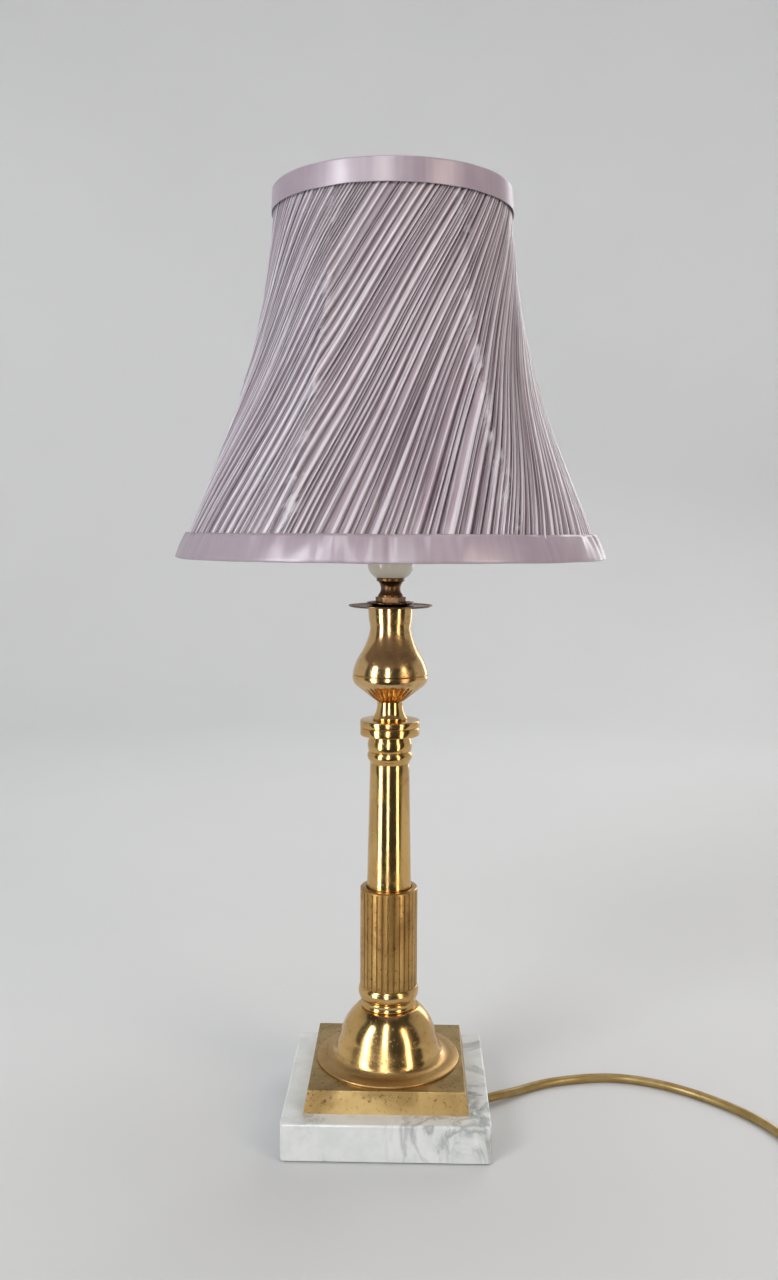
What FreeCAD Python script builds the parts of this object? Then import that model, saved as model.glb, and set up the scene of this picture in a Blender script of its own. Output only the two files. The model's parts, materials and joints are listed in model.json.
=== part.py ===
import FreeCAD, Part
import math
import os
import re
import Sketcher
from FreeCAD import Placement, Rotation, Vector

# Candlestick table lamp: marble block, brass plinth, dome, fluted sleeve, column, urn, lampholder,
# bulb, bell shade and flex. Millimetres, +Z up, origin at the centre of the pad under the block.
# Every turned piece is drawn in its own frame, with its seat at height 0, and is raised to its
# place by a chain of heights, so the stack follows when one height changes.

doc = FreeCAD.newDocument("candlestick_lamp")

# ---------------------------------------------------------------- driving dimensions
DIMENSIONS = [
    # foot
    ("felt_height", 1.2), ("felt_margin", 2.5),
    ("marble_side", 132.0), ("marble_height", 23.7), ("marble_corner", 3.0), ("marble_edge", 1.5),
    ("recess_radius", 52.0), ("recess_depth", 7.6),
    ("nut_well_radius", 15.5), ("nut_well_depth", 8.0),
    ("exit_angle", 28.0), ("exit_offset", 8.6), ("exit_height", 5.0),
    ("grommet_wall", 0.5), ("grommet_proud", 1.5), ("grommet_length", 13.5), ("grommet_play", 0.15),
    ("channel_overrun", 5.3),
    ("clamp_length", 7.0), ("clamp_width", 14.0), ("clamp_height", 7.3), ("clamp_distance", 28.0),
    # stem and its clamping parts
    ("stem_radius", 5.0), ("stem_bore", 4.0), ("stem_play", 0.2), ("stem_tail", 1.0),
    ("stem_entry", 3.2),
    ("washer_radius", 12.0), ("washer_thick", 1.2),
    ("tag_radius", 8.5), ("tag_thick", 0.8), ("tag_reach", 14.4), ("tag_width", 4.0),
    ("split_radius", 8.0), ("split_thick", 1.6), ("split_gap", 1.5),
    ("nut_flats", 14.0), ("nut_thick", 4.0),
    # plinth, dome, knuckle
    ("plinth_base_side", 105.0), ("plinth_top_side", 99.9), ("plinth_height", 14.2),
    ("plinth_wall", 3.0), ("plinth_edge", 0.5),
    ("flange_radius", 47.6), ("flange_edge", 1.3), ("dome_radius", 32.5), ("dome_sill", 2.5),
    ("dome_flare", 8.0), ("dome_rise", 25.6), ("dome_wall", 2.2), ("dome_crown", 3.0),
    ("knuckle_foot_radius", 17.9), ("knuckle_foot_height", 2.6), ("knuckle_step_radius", 18.5),
    ("knuckle_step_height", 2.8), ("knuckle_top_radius", 19.0), ("knuckle_bead_height", 9.2),
    ("knuckle_swell", 1.5),
    # sleeve and column
    ("sleeve_radius", 19.0), ("sleeve_height", 66.7), ("sleeve_play", 0.3), ("sleeve_lip", 0.6),
    ("flute_count", 32), ("flute_width", 1.1), ("flute_depth", 0.8), ("flute_stop", 1.6),
    ("column_foot_radius", 14.9), ("column_mid_radius", 14.64), ("column_top_radius", 12.9),
    ("column_height", 149.9), ("column_wall", 1.6),
    # collar, cap disc, neck cone
    ("collar_foot_radius", 13.3), ("collar_foot_height", 2.3), ("bead_radius", 13.9),
    ("bead_height", 5.5), ("bead_swell", 0.85), ("bead_gap", 0.4), ("upper_bead_height", 8.6),
    ("collar_neck_height", 1.9),
    ("disc_radius", 19.5), ("disc_height", 10.1), ("disc_groove_level", 5.0),
    ("disc_groove_width", 0.8), ("disc_groove_depth", 0.6), ("disc_round", 0.5),
    ("cone_foot_radius", 11.3), ("cone_top_radius", 8.45), ("cone_height", 11.9),
    ("cone_rim_height", 1.6), ("cone_sag", 0.9),
    # urn
    ("urn_foot_radius", 8.5), ("urn_cone_radius", 22.9), ("urn_cone_height", 11.4),
    ("urn_belly_radius", 24.6), ("urn_belly_height", 17.8), ("urn_line_depth", 0.35),
    ("urn_shoulder_radius", 19.0), ("urn_shoulder_height", 32.2), ("urn_neck_radius", 13.15),
    ("urn_neck_height", 48.0), ("urn_step_height", 51.6), ("urn_step", 0.45),
    ("urn_rim_radius", 14.4), ("urn_height", 62.1), ("urn_wall", 2.4), ("urn_boss", 6.0),
    ("gadroon_count", 28), ("gadroon_radius", 1.3), ("gadroon_depth", 0.55),
    # pan, saucer, locknut, spindle
    ("pan_radius", 27.2), ("pan_thick", 1.0), ("pan_lip", 0.5),
    ("saucer_radius", 15.4), ("saucer_thick", 0.9), ("saucer_lip", 1.5),
    ("locknut_flats", 17.0), ("locknut_thick", 4.6),
    ("spindle_foot_radius", 8.2), ("spindle_foot_height", 1.6), ("spindle_waist_radius", 6.4),
    ("spindle_waist_height", 8.4), ("spindle_top_radius", 9.2), ("spindle_top_height", 2.5),
    # lampholder
    ("cap_foot_radius", 10.3), ("cap_bowl_radius", 15.0), ("cap_bowl_height", 8.2),
    ("cap_rim_height", 17.0), ("cap_wall", 2.2), ("cap_floor", 3.4), ("cap_swell", 1.1),
    ("cap_flare_sag", 1.0),
    ("holder_radius", 19.0), ("holder_height", 20.5), ("holder_wall", 2.2), ("holder_shoulder", 4.5),
    ("skirt_radius", 14.3), ("skirt_wall", 1.1), ("skirt_height", 15.5),
    ("carrier_height", 8.0), ("carrier_flange", 4.0), ("carrier_play", 0.15),
    ("contact_offset", 5.5), ("contact_bore", 3.05), ("plunger_radius", 2.0),
    ("plunger_guide", 1.5), ("plunger_collar", 1.1), ("plunger_tip", 3.0),
    ("terminal_radius", 2.4), ("terminal_head", 1.5), ("terminal_tail", 4.0),
    ("spring_wire", 0.25), ("spring_turns", 3), ("spring_height", 3.9), ("spring_play", 0.05),
    ("spring_side_play", 0.25),
    ("barrel_wall", 1.0), ("barrel_play", 0.3), ("barrel_height", 16.5),
    ("slot_height", 2.8), ("slot_turn", 20.0),
    ("fitter_play", 0.3), ("ring_play", 0.1), ("ring_height", 6.3), ("ring_grips", 16),
    ("grip_radius", 1.1), ("ring_gap", 0.05),
    ("bar_radius", 2.6), ("bar_play", 0.1), ("bar_level", 5.5), ("bar_travel", 6.0),
    ("bar_proud", 7.0), ("button_radius", 3.6), ("button_length", 4.5),
    ("grub_radius", 1.5), ("grub_level", 1.7),
    # bulb
    ("bulb_cap_radius", 11.0), ("bulb_cap_height", 23.0), ("bulb_cap_wall", 0.5),
    ("bulb_pin_radius", 1.1), ("bulb_pin_level", 7.0), ("bulb_pin_reach", 13.0),
    ("bulb_pad_radius", 2.6), ("bulb_pad_height", 0.6), ("bulb_radius", 30.0),
    ("bulb_length", 104.0), ("bulb_neck_radius", 10.4), ("bulb_glass_wall", 0.8),
    ("mount_radius", 4.0), ("mount_height", 30.0), ("filament_radius", 0.4),
    ("filament_rise", 20.0), ("filament_span", 9.0),
    # shade
    ("shade_drop", 24.9), ("shade_height", 228.5),
    ("shade_top_radius", 74.0), ("shade_top_angle", 3.0), ("shade_flare_angle", 20.5),
    ("shade_arc_drop", 150.0), ("cover_thick", 1.2), ("face_dip", 0.06),
    ("strut_count", 6), ("strut_turn", 4.0), ("strut_wire", 1.2), ("frame_gap", 0.3),
    ("top_wire", 1.5), ("bottom_wire", 1.75), ("lining_thick", 0.6), ("lining_gap", 0.2),
    ("trim_thick", 0.8), ("trim_gap", 0.3), ("top_trim_height", 14.8), ("bottom_trim_height", 15.9),
    ("bottom_trim_proud", 2.15), ("bottom_trim_clear", 0.7), ("trim_turn_in", 9.5),
    ("fitter_rim", 6.0), ("fitter_thick", 1.2), ("arm_wire", 1.75), ("arm_run", 12.0),
    ("arm_count", 3),
    # flex
    ("cord_diameter", 6.1), ("cord_play", 0.1), ("core_radius", 1.1), ("core_side", 1.3),
    ("core_rise", 0.8), ("tail_bend", 31.0), ("tail_end", 14.8), ("core_bend", 5.0),
    ("coil_radius", 36.5), ("coil_pitch", 6.75), ("coil_layer", 6.75), ("coil_quarters", 25),
    ("plug_relief", 20.0), ("plug_length", 26.0), ("plug_width", 32.0), ("plug_height", 22.0),
    ("blade_length", 17.0), ("blade_width", 6.3), ("blade_thick", 1.6), ("blade_circle", 7.6),
]

sheet = doc.addObject("Spreadsheet::Sheet", "dims")
for row, (alias, value) in enumerate(DIMENSIONS, start=1):
    sheet.set(f"A{row}", alias)
    sheet.set(f"B{row}", str(value))
    sheet.setAlias(f"B{row}", alias)
doc.recompute()

ALIAS = re.compile(r"\b(" + "|".join(alias for alias, _ in DIMENSIONS) + r")\b")


def formula(text):
    """Turn a formula of dimension names into an expression on the sheet."""
    return ALIAS.sub(r"dims.\1", str(text))


def size(text):
    """The present value of a formula, as a plain number."""
    value = sheet.evalExpression(formula(text))
    return float(getattr(value, "Value", value))


def bind(target, **formulas):
    """Bind properties of an object to formulas of dimension names."""
    for prop, text in formulas.items():
        target.setExpression(prop.replace("__", "."), formula(text))


def raise_to(target, level):
    """Seat a finished piece at a height given as a formula."""
    target.setExpression("Placement.Base.z", formula(level))


# ---------------------------------------------------------------- the stack's heights
STEM_HOLE = "(stem_radius + stem_play)"
CORD_RADIUS = "(cord_diameter / 2)"
GROMMET_RADIUS = f"({CORD_RADIUS} + cord_play + grommet_wall)"

MARBLE_FOOT = "felt_height"
WELL_FLOOR = f"({MARBLE_FOOT} + recess_depth)"
WELL_TOP = f"({WELL_FLOOR} + nut_well_depth)"
PLINTH_FOOT = f"({MARBLE_FOOT} + marble_height)"
DOME_FOOT = f"({PLINTH_FOOT} + plinth_height)"
DOME_HEIGHT = "(dome_sill + dome_flare + dome_rise)"
KNUCKLE_FOOT = f"({DOME_FOOT} + {DOME_HEIGHT})"
KNUCKLE_HEIGHT = "(knuckle_foot_height + knuckle_step_height + knuckle_bead_height)"
COLUMN_FOOT = f"({KNUCKLE_FOOT} + {KNUCKLE_HEIGHT})"
COLLAR_FOOT = f"({COLUMN_FOOT} + column_height)"
COLLAR_HEIGHT = "(collar_foot_height + bead_height + bead_gap + upper_bead_height + collar_neck_height)"
DISC_FOOT = f"({COLLAR_FOOT} + {COLLAR_HEIGHT})"
CONE_FOOT = f"({DISC_FOOT} + disc_height)"
URN_FOOT = f"({CONE_FOOT} + cone_height)"
PAN_FOOT = f"({URN_FOOT} + urn_height)"
SAUCER_FOOT = f"({PAN_FOOT} + pan_thick)"
LOCKNUT_FOOT = f"({SAUCER_FOOT} + saucer_thick)"
SPINDLE_FOOT = f"({LOCKNUT_FOOT} + locknut_thick)"
SPINDLE_HEIGHT = "(spindle_foot_height + spindle_waist_height + spindle_top_height)"
CAP_FOOT = f"({SPINDLE_FOOT} + {SPINDLE_HEIGHT})"
HOLDER_FOOT = f"({CAP_FOOT} + cap_rim_height)"
SHOULDER = f"({HOLDER_FOOT} + holder_height)"
CARRIER_FOOT = f"({SHOULDER} - holder_shoulder - carrier_flange)"
BARREL_FOOT = f"({CARRIER_FOOT} + carrier_height)"
PLUNGER_TOP = f"({BARREL_FOOT} + plunger_tip)"
BULB_FOOT = PLUNGER_TOP
SHADE_FOOT = f"({SHOULDER} - shade_drop)"
SHADE_TOP = f"({SHADE_FOOT} + shade_height)"


# ---------------------------------------------------------------- sketch helpers
class Bulge:
    """A stretch of an outline that swells by a rise over its chord, outwards or inwards."""

    def __init__(self, rise, outward=True):
        self.rise = rise
        self.outward = outward

    def radius(self, start, end):
        chord_squared = f"((({end[0]}) - ({start[0]}))^2 + (({end[1]}) - ({start[1]}))^2)"
        return f"({chord_squared} / (8 * ({self.rise})) + ({self.rise}) / 2)"


class Round:
    """A stretch of an outline that is an arc of a given radius, outwards or inwards."""

    def __init__(self, arc_radius, outward=True):
        self.arc_radius = arc_radius
        self.outward = outward

    def radius(self, start, end):
        return self.arc_radius


def arc_between(start, end, radius, outward):
    """The arc from one point to another whose middle lies away from, or towards, the axis."""
    (x0, y0), (x1, y1) = start, end
    chord = math.hypot(x1 - x0, y1 - y0)
    rise_of_centre = math.sqrt(max(radius * radius - chord * chord / 4, 0.0))
    normal = ((y1 - y0) / chord, -(x1 - x0) / chord)
    if (normal[0] < 0) == outward or (normal[0] == 0 and (normal[1] < 0) == outward):
        normal = (-normal[0], -normal[1])
    centre = Vector((x0 + x1) / 2 - normal[0] * rise_of_centre,
                    (y0 + y1) / 2 - normal[1] * rise_of_centre, 0)
    first = math.atan2(y0 - centre.y, x0 - centre.x)
    last = math.atan2(y1 - centre.y, x1 - centre.x)
    forward = (last - first) % (2 * math.pi) < math.pi
    if not forward:
        first, last = last, first
    return Part.ArcOfCircle(Part.Circle(centre, Vector(0, 0, 1), radius), first, last), forward


def draw_outline(sketch, outline):
    """Draw a closed outline of points and bulges, each point and radius bound to its formula."""
    points = [step for step in outline if isinstance(step, tuple)]
    bends = []
    for step in outline:
        if isinstance(step, tuple):
            bends.append(None)
        else:
            bends[-1] = step
    ends = []
    radii = []
    for index, start in enumerate(points):
        end = points[(index + 1) % len(points)]
        here = (size(start[0]), size(start[1]))
        there = (size(end[0]), size(end[1]))
        bend = bends[index]
        if bend is None:
            line = Part.LineSegment(Vector(*here, 0), Vector(*there, 0))
            ends.append((sketch.addGeometry(line), 1, 2))
        else:
            text = bend.radius(start, end)
            arc, forward = arc_between(here, there, size(text), bend.outward)
            edge = sketch.addGeometry(arc)
            ends.append((edge, 1, 2) if forward else (edge, 2, 1))
            radii.append((edge, text))
    for index, (edge, _, last) in enumerate(ends):
        next_edge, first, _ = ends[(index + 1) % len(ends)]
        sketch.addConstraint(Sketcher.Constraint("Coincident", edge, last, next_edge, first))
    for index, point in enumerate(points):
        edge, first, _ = ends[index]
        for kind, text, axis in (("DistanceX", point[0], -2), ("DistanceY", point[1], -1)):
            if str(text) == "0":
                sketch.addConstraint(Sketcher.Constraint("PointOnObject", edge, first, axis))
            else:
                number = sketch.addConstraint(
                    Sketcher.Constraint(kind, -1, 1, edge, first, size(text)))
                sketch.setExpression(f"Constraints[{number}]", formula(text))
    for edge, text in radii:
        number = sketch.addConstraint(Sketcher.Constraint("Radius", edge, size(text)))
        sketch.setExpression(f"Constraints[{number}]", formula(text))


def add_body(label):
    body = doc.addObject("PartDesign::Body", label)
    body.Label = label
    return body


def add_sketch(body, name, plane):
    """A sketch on one of the body's own origin planes."""
    sketch = body.newObject("Sketcher::SketchObject", name)
    support = [item for item in body.Origin.OriginFeatures if item.Role == plane][0]
    sketch.AttachmentSupport = [(support, "")]
    sketch.MapMode = "FlatFace"
    return sketch


def origin_axis(body, role):
    return [item for item in body.Origin.OriginFeatures if item.Role == role][0]


def turned(label, outline, level=None):
    """A body turned about Z from a closed outline of (radius, height) formulas."""
    body = add_body(label)
    sketch = add_sketch(body, f"{label}_outline", "XZ_Plane")
    draw_outline(sketch, outline)
    turn = body.newObject("PartDesign::Revolution", f"{label}_turn")
    turn.Profile = sketch
    turn.ReferenceAxis = (sketch, ["V_Axis"])
    turn.Angle = 360
    body.Tip = turn
    if level is not None:
        raise_to(body, level)
    return body


def circle_sketch(body, name, plane, radius, centre=("0", "0")):
    sketch = add_sketch(body, name, plane)
    middle = Vector(size(centre[0]), size(centre[1]), 0)
    edge = sketch.addGeometry(Part.Circle(middle, Vector(0, 0, 1), size(radius)))
    for kind, text, axis in (("DistanceX", centre[0], -2), ("DistanceY", centre[1], -1)):
        if text == "0":
            sketch.addConstraint(Sketcher.Constraint("PointOnObject", edge, 3, axis))
        else:
            number = sketch.addConstraint(Sketcher.Constraint(kind, -1, 1, edge, 3, size(text)))
            sketch.setExpression(f"Constraints[{number}]", formula(text))
    number = sketch.addConstraint(Sketcher.Constraint("Radius", edge, size(radius)))
    sketch.setExpression(f"Constraints[{number}]", formula(radius))
    return sketch


def square_sketch(body, name, side):
    """A square about the origin, on the body's XY plane."""
    sketch = add_sketch(body, name, "XY_Plane")
    half = size(side) / 2
    corners = [Vector(-half, -half, 0), Vector(half, -half, 0), Vector(half, half, 0), Vector(-half, half, 0)]
    for index in range(4):
        sketch.addGeometry(Part.LineSegment(corners[index], corners[(index + 1) % 4]))
    for index in range(4):
        sketch.addConstraint(Sketcher.Constraint("Coincident", index, 2, (index + 1) % 4, 1))
        sketch.addConstraint(Sketcher.Constraint("Horizontal" if index % 2 == 0 else "Vertical", index))
    sketch.addConstraint(Sketcher.Constraint("Symmetric", 0, 1, 1, 2, -1, 1))
    for index in (0, 1):
        kind = "DistanceX" if index == 0 else "DistanceY"
        number = sketch.addConstraint(Sketcher.Constraint(kind, index, 1, index, 2, 2 * half))
        sketch.setExpression(f"Constraints[{number}]", formula(side))
    return sketch


def pad(body, name, sketch, length, **settings):
    feature = body.newObject("PartDesign::Pad", name)
    feature.Profile = sketch
    bind(feature, Length=length)
    for prop, value in settings.items():
        setattr(feature, prop, value)
    body.Tip = feature
    return feature


def pocket(body, name, sketch, length):
    """A pocket cut upwards from the body's XY plane."""
    feature = body.newObject("PartDesign::Pocket", name)
    feature.Profile = sketch
    feature.Reversed = True
    bind(feature, Length=length)
    body.Tip = feature
    return feature


def around(body, name, feature, count):
    """Repeat a feature evenly about the body's Z axis."""
    pattern = body.newObject("PartDesign::PolarPattern", name)
    pattern.Originals = [feature]
    pattern.Axis = (origin_axis(body, "Z_Axis"), [""])
    pattern.Angle = 360
    bind(pattern, Occurrences=count)
    body.Tip = pattern
    return pattern


def cylinder(name, radius, height, base=("0", "0", "0"), axis=None):
    """A cylinder with its foot at base, along Z or another axis."""
    shape = doc.addObject("Part::Cylinder", name)
    bind(shape, Radius=radius, Height=height)
    if axis is not None:
        shape.Placement = Placement(Vector(), Rotation(Vector(0, 0, 1), axis))
    bind(shape, Placement__Base__x=base[0], Placement__Base__y=base[1], Placement__Base__z=base[2])
    return shape


def box(name, length, width, height, base):
    """A box with its low corner at base."""
    shape = doc.addObject("Part::Box", name)
    bind(shape, Length=length, Width=width, Height=height)
    bind(shape, Placement__Base__x=base[0], Placement__Base__y=base[1], Placement__Base__z=base[2])
    return shape


def prism(name, flats, height, base="0"):
    """A hexagonal prism, given by its width across the flats."""
    shape = doc.addObject("Part::Prism", name)
    shape.Polygon = 6
    bind(shape, Circumradius=f"{flats} / 2 / cos(30)", Height=height, Placement__Base__z=base)
    return shape


def cut(label, base, tool, level=None):
    shape = doc.addObject("Part::Cut", label)
    shape.Label = label
    shape.Base = base
    shape.Tool = tool
    shape.Refine = False
    if level is not None:
        raise_to(shape, level)
    return shape


def fuse(name, *pieces):
    shape = doc.addObject("Part::MultiFuse", name)
    shape.Label = name
    shape.Shapes = list(pieces)
    return shape


def group(label, pieces, level=None):
    """Several separate solids that share a node."""
    shape = doc.addObject("Part::Compound", label)
    shape.Label = label
    shape.Links = list(pieces)
    if level is not None:
        raise_to(shape, level)
    return shape


def made(label, shape, place=None):
    """A piece whose shape comes from Part's own functions, given its place after its shape."""
    piece = doc.addObject("Part::Feature", label)
    piece.Label = label
    piece.Shape = shape
    if place is not None:
        piece.Placement = place
    return piece


# ---------------------------------------------------------------- tubes and wires
def bent_wire(points, radii):
    """Straight runs between points, joined at the corners by tangent arcs."""
    edges = []
    start = points[0]
    for index in range(1, len(points) - 1):
        before = (points[index - 1] - points[index]).normalize()
        after = (points[index + 1] - points[index]).normalize()
        half_turn = (math.pi - before.getAngle(after)) / 2
        setback = radii[index - 1] * math.tan(half_turn)
        first = points[index] + before * setback
        last = points[index] + after * setback
        inward = (before + after).normalize()
        to_centre = radii[index - 1] / math.cos(half_turn)
        middle = points[index] + inward * (to_centre - radii[index - 1])
        edges.append(Part.LineSegment(start, first).toShape())
        edges.append(Part.Arc(first, middle, last).toShape())
        start = last
    edges.append(Part.LineSegment(start, points[-1]).toShape())
    return Part.Wire(edges)


def tube_along(wire, radius):
    """A round bar that follows a wire."""
    start = wire.Edges[0]
    tangent = start.tangentAt(start.FirstParameter)
    ring = Part.Wire(Part.Circle(start.valueAt(start.FirstParameter), tangent, radius).toShape())
    return wire.makePipeShell([ring], True, False)


def corner_radii(points, share=0.45):
    """For each corner, the largest arc that its two runs allow."""
    radii = []
    for index in range(1, len(points) - 1):
        before = points[index] - points[index - 1]
        after = points[index + 1] - points[index]
        half_turn = before.getAngle(after) / 2
        radii.append(share * min(before.Length, after.Length) / math.tan(half_turn))
    return radii


# ---------------------------------------------------------------- foot: pad, marble block, channel
def build_foot():
    felt_side = "marble_side - 2 * felt_margin"
    felt = add_body("felt_pad")
    pad(felt, "felt_sheet", square_sketch(felt, "felt_square", felt_side), "felt_height")

    block = add_body("marble_blank")
    pad(block, "marble_slab", square_sketch(block, "marble_square", "marble_side"), "marble_height")
    doc.recompute()
    corners = [f"Edge{number}" for number, edge in enumerate(block.Tip.Shape.Edges, start=1)
               if abs(edge.tangentAt(edge.FirstParameter).z) > 0.99]
    rounded = body_fillet(block, "marble_corners", corners, "marble_corner")
    doc.recompute()
    rims = [f"Edge{number}" for number, edge in enumerate(rounded.Shape.Edges, start=1)
            if edge.BoundBox.ZMin > rounded.Shape.BoundBox.ZMax - 0.01]
    body_fillet(block, "marble_rim", rims, "marble_edge")
    recess = circle_sketch(block, "recess_circle", "XY_Plane", "recess_radius")
    pocket(block, "recess", recess, "recess_depth")
    well = circle_sketch(block, "well_circle", "XY_Plane", "nut_well_radius")
    pocket(block, "nut_well", well, "recess_depth + nut_well_depth")
    hole = circle_sketch(block, "stem_circle", "XY_Plane", STEM_HOLE)
    pocket(block, "stem_hole", hole, "marble_height + 1")

    half_width = f"({GROMMET_RADIUS} + grommet_play)"
    channel_length = "(marble_side / 2 - recess_radius) / cos(exit_angle) + channel_overrun"
    channel_box = box("channel_box", f"{channel_length} + 10", f"2 * {half_width}",
                      "exit_height - felt_height + 1", (f"-({channel_length})", f"-{half_width}", "-1"))
    channel_round = cylinder("channel_round", half_width, f"{channel_length} + 10",
                             (f"-({channel_length})", "0", "exit_height - felt_height"), Vector(1, 0, 0))
    channel = fuse("exit_channel", channel_box, channel_round)
    bind(channel, Placement__Base__x="marble_side / 2", Placement__Base__y="exit_offset",
         Placement__Rotation__Angle="exit_angle")
    marble = cut("marble_base", block, channel, MARBLE_FOOT)

    sleeve = cylinder("grommet_outside", GROMMET_RADIUS, "grommet_length + grommet_proud",
                      ("-grommet_length", "0", "0"), Vector(1, 0, 0))
    bore = cylinder("grommet_inside", f"{CORD_RADIUS} + cord_play", "grommet_length + grommet_proud + 2",
                    ("-grommet_length - 1", "0", "0"), Vector(1, 0, 0))
    grommet = cut("cord_grommet", sleeve, bore, "exit_height")
    bind(grommet, Placement__Base__x="marble_side / 2", Placement__Base__y="exit_offset",
         Placement__Rotation__Angle="exit_angle")

    block_of_clamp = box("clamp_block", "clamp_length", "clamp_width", "clamp_height",
                         ("clamp_distance", "-clamp_width / 2", "-(exit_height - felt_height) + 0.1"))
    clamp_bore = cylinder("clamp_bore", f"{CORD_RADIUS} + cord_play", "clamp_length + 2",
                          ("clamp_distance - 1", "0", "0"), Vector(1, 0, 0))
    clamp = cut("cord_clamp", block_of_clamp, clamp_bore, "exit_height")
    return [felt, marble, grommet, clamp]


def body_fillet(body, name, edges, radius):
    """Round the named edges of the body's present tip."""
    present = body.Tip
    feature = body.newObject("PartDesign::Fillet", name)
    feature.Base = (present, edges)
    bind(feature, Radius=radius)
    body.Tip = feature
    return feature


# ---------------------------------------------------------------- clamping parts on the stem
def build_stem_parts():
    tail = f"({WELL_TOP} - washer_thick - tag_thick - split_thick - nut_thick - stem_tail)"
    top = f"({CAP_FOOT} + stem_entry)"
    stem = turned("stem_tube", [
        ("stem_bore", "0"), ("stem_radius", "0"),
        ("stem_radius", f"{top} - {tail}"), ("stem_bore", f"{top} - {tail}")], tail)
    washer = turned("clamp_washer", [
        (STEM_HOLE, "0"), ("washer_radius", "0"), ("washer_radius", "washer_thick"),
        (STEM_HOLE, "washer_thick")], f"{WELL_TOP} - washer_thick")

    tag_level = f"({WELL_TOP} - washer_thick - tag_thick)"
    tag_disc = cylinder("tag_disc", "tag_radius", "tag_thick")
    tag_tongue = box("tag_tongue", "tag_reach", "tag_width", "tag_thick", ("-tag_reach", "-tag_width / 2", "0"))
    tag_hole = cylinder("tag_hole", STEM_HOLE, "tag_thick + 2", ("0", "0", "-1"))
    tag = cut("earth_tag", fuse("tag_blank", tag_disc, tag_tongue), tag_hole, tag_level)

    split_level = f"({tag_level} - split_thick)"
    ring = cylinder("split_outside", "split_radius", "split_thick")
    ring_hole = cylinder("split_inside", STEM_HOLE, "split_thick + 2", ("0", "0", "-1"))
    slit = box("split_slit", "split_radius + 1", "split_gap", "split_thick + 2", ("0", "-split_gap / 2", "-1"))
    split = cut("split_washer", ring, fuse("split_tools", ring_hole, slit), split_level)

    nut_hole = cylinder("nut_hole", STEM_HOLE, "nut_thick + 2", ("0", "0", "-1"))
    nut = cut("bottom_nut", prism("nut_prism", "nut_flats", "nut_thick"), nut_hole, f"{split_level} - nut_thick")
    return [stem, washer, tag, split, nut]


# ---------------------------------------------------------------- plinth and dome
def build_plinth():
    body = add_body("plinth_plate")
    slope = "atan((plinth_base_side - plinth_top_side) / 2 / plinth_height)"
    slab = pad(body, "plinth_slab", square_sketch(body, "plinth_square", "plinth_base_side"), "plinth_height")
    bind(slab, TaperAngle=f"-{slope}")
    doc.recompute()
    rims = [f"Edge{number}" for number, edge in enumerate(slab.Shape.Edges, start=1)
            if edge.BoundBox.ZMin > slab.Shape.BoundBox.ZMax - 0.01]
    rim = body_fillet(body, "plinth_rim", rims, "plinth_edge")
    rim.Label = "plinth_rim"
    hollow = square_sketch(body, "hollow_square", "plinth_top_side - 2 * plinth_wall")
    pocket(body, "plinth_hollow", hollow, "plinth_height - plinth_wall")
    hole = circle_sketch(body, "plinth_circle", "XY_Plane", STEM_HOLE)
    pocket(body, "plinth_hole", hole, "plinth_height + 1")
    raise_to(body, PLINTH_FOOT)
    return [body]


def build_dome():
    centre = "(dome_sill + dome_flare)"
    inner = "(dome_radius - dome_wall)"
    crown_top = f"({DOME_HEIGHT} - dome_crown)"
    inner_top_radius = f"sqrt({inner}^2 - (dome_rise - dome_crown)^2)"
    outer_top_radius = "sqrt(dome_radius^2 - dome_rise^2)"
    dome = turned("dome_foot", [
        (STEM_HOLE, crown_top), (inner_top_radius, crown_top), Round(inner),
        (inner, centre), (inner, "0"), ("flange_radius", "0"), ("flange_radius", "flange_edge"),
        ("flange_radius - 0.7", "flange_edge + 0.4"), ("dome_radius + dome_flare", "dome_sill"),
        Round("dome_flare", outward=False),
        ("dome_radius", centre), Round("dome_radius"),
        (outer_top_radius, DOME_HEIGHT), (STEM_HOLE, DOME_HEIGHT)], DOME_FOOT)
    step_top = "(knuckle_foot_height + knuckle_step_height)"
    knuckle = turned("knuckle_ring", [
        (STEM_HOLE, "0"), ("knuckle_foot_radius", "0"), Bulge("0.4"),
        ("knuckle_foot_radius", "knuckle_foot_height - 0.5"), ("knuckle_foot_radius - 0.3", "knuckle_foot_height"),
        ("knuckle_step_radius", "knuckle_foot_height + 0.5"), ("knuckle_step_radius", f"{step_top} - 0.4"),
        ("knuckle_step_radius - 0.4", step_top), Bulge("knuckle_swell"),
        ("knuckle_top_radius", KNUCKLE_HEIGHT), (STEM_HOLE, KNUCKLE_HEIGHT)], KNUCKLE_FOOT)
    return [dome, knuckle]


# ---------------------------------------------------------------- fluted sleeve and column
def build_column():
    bore = "(column_foot_radius + sleeve_play)"
    sleeve = turned("fluted_sleeve", [
        (bore, "0"), ("sleeve_radius", "0"), ("sleeve_radius", "sleeve_height - sleeve_lip"),
        ("sleeve_radius - sleeve_lip", "sleeve_height"), (bore, "sleeve_height")], COLUMN_FOOT)
    groove = add_sketch(sleeve, "flute_section", "XY_Plane")
    draw_outline(groove, [
        ("sleeve_radius - flute_depth", "0"), ("sleeve_radius + 1", "0"),
        ("sleeve_radius + 1", "flute_width"), ("sleeve_radius - flute_depth", "flute_width")])
    first = pocket(sleeve, "flute", groove, "sleeve_height - flute_stop")
    around(sleeve, "flutes", first, "flute_count")

    column = turned("column_tube", [
        ("column_foot_radius - column_wall", "0"), ("column_foot_radius", "0"),
        ("column_mid_radius", "sleeve_height"), ("column_top_radius", "column_height"),
        ("column_top_radius - column_wall", "column_height"),
        ("column_mid_radius - column_wall", "sleeve_height")], COLUMN_FOOT)
    return [sleeve, column]


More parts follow.
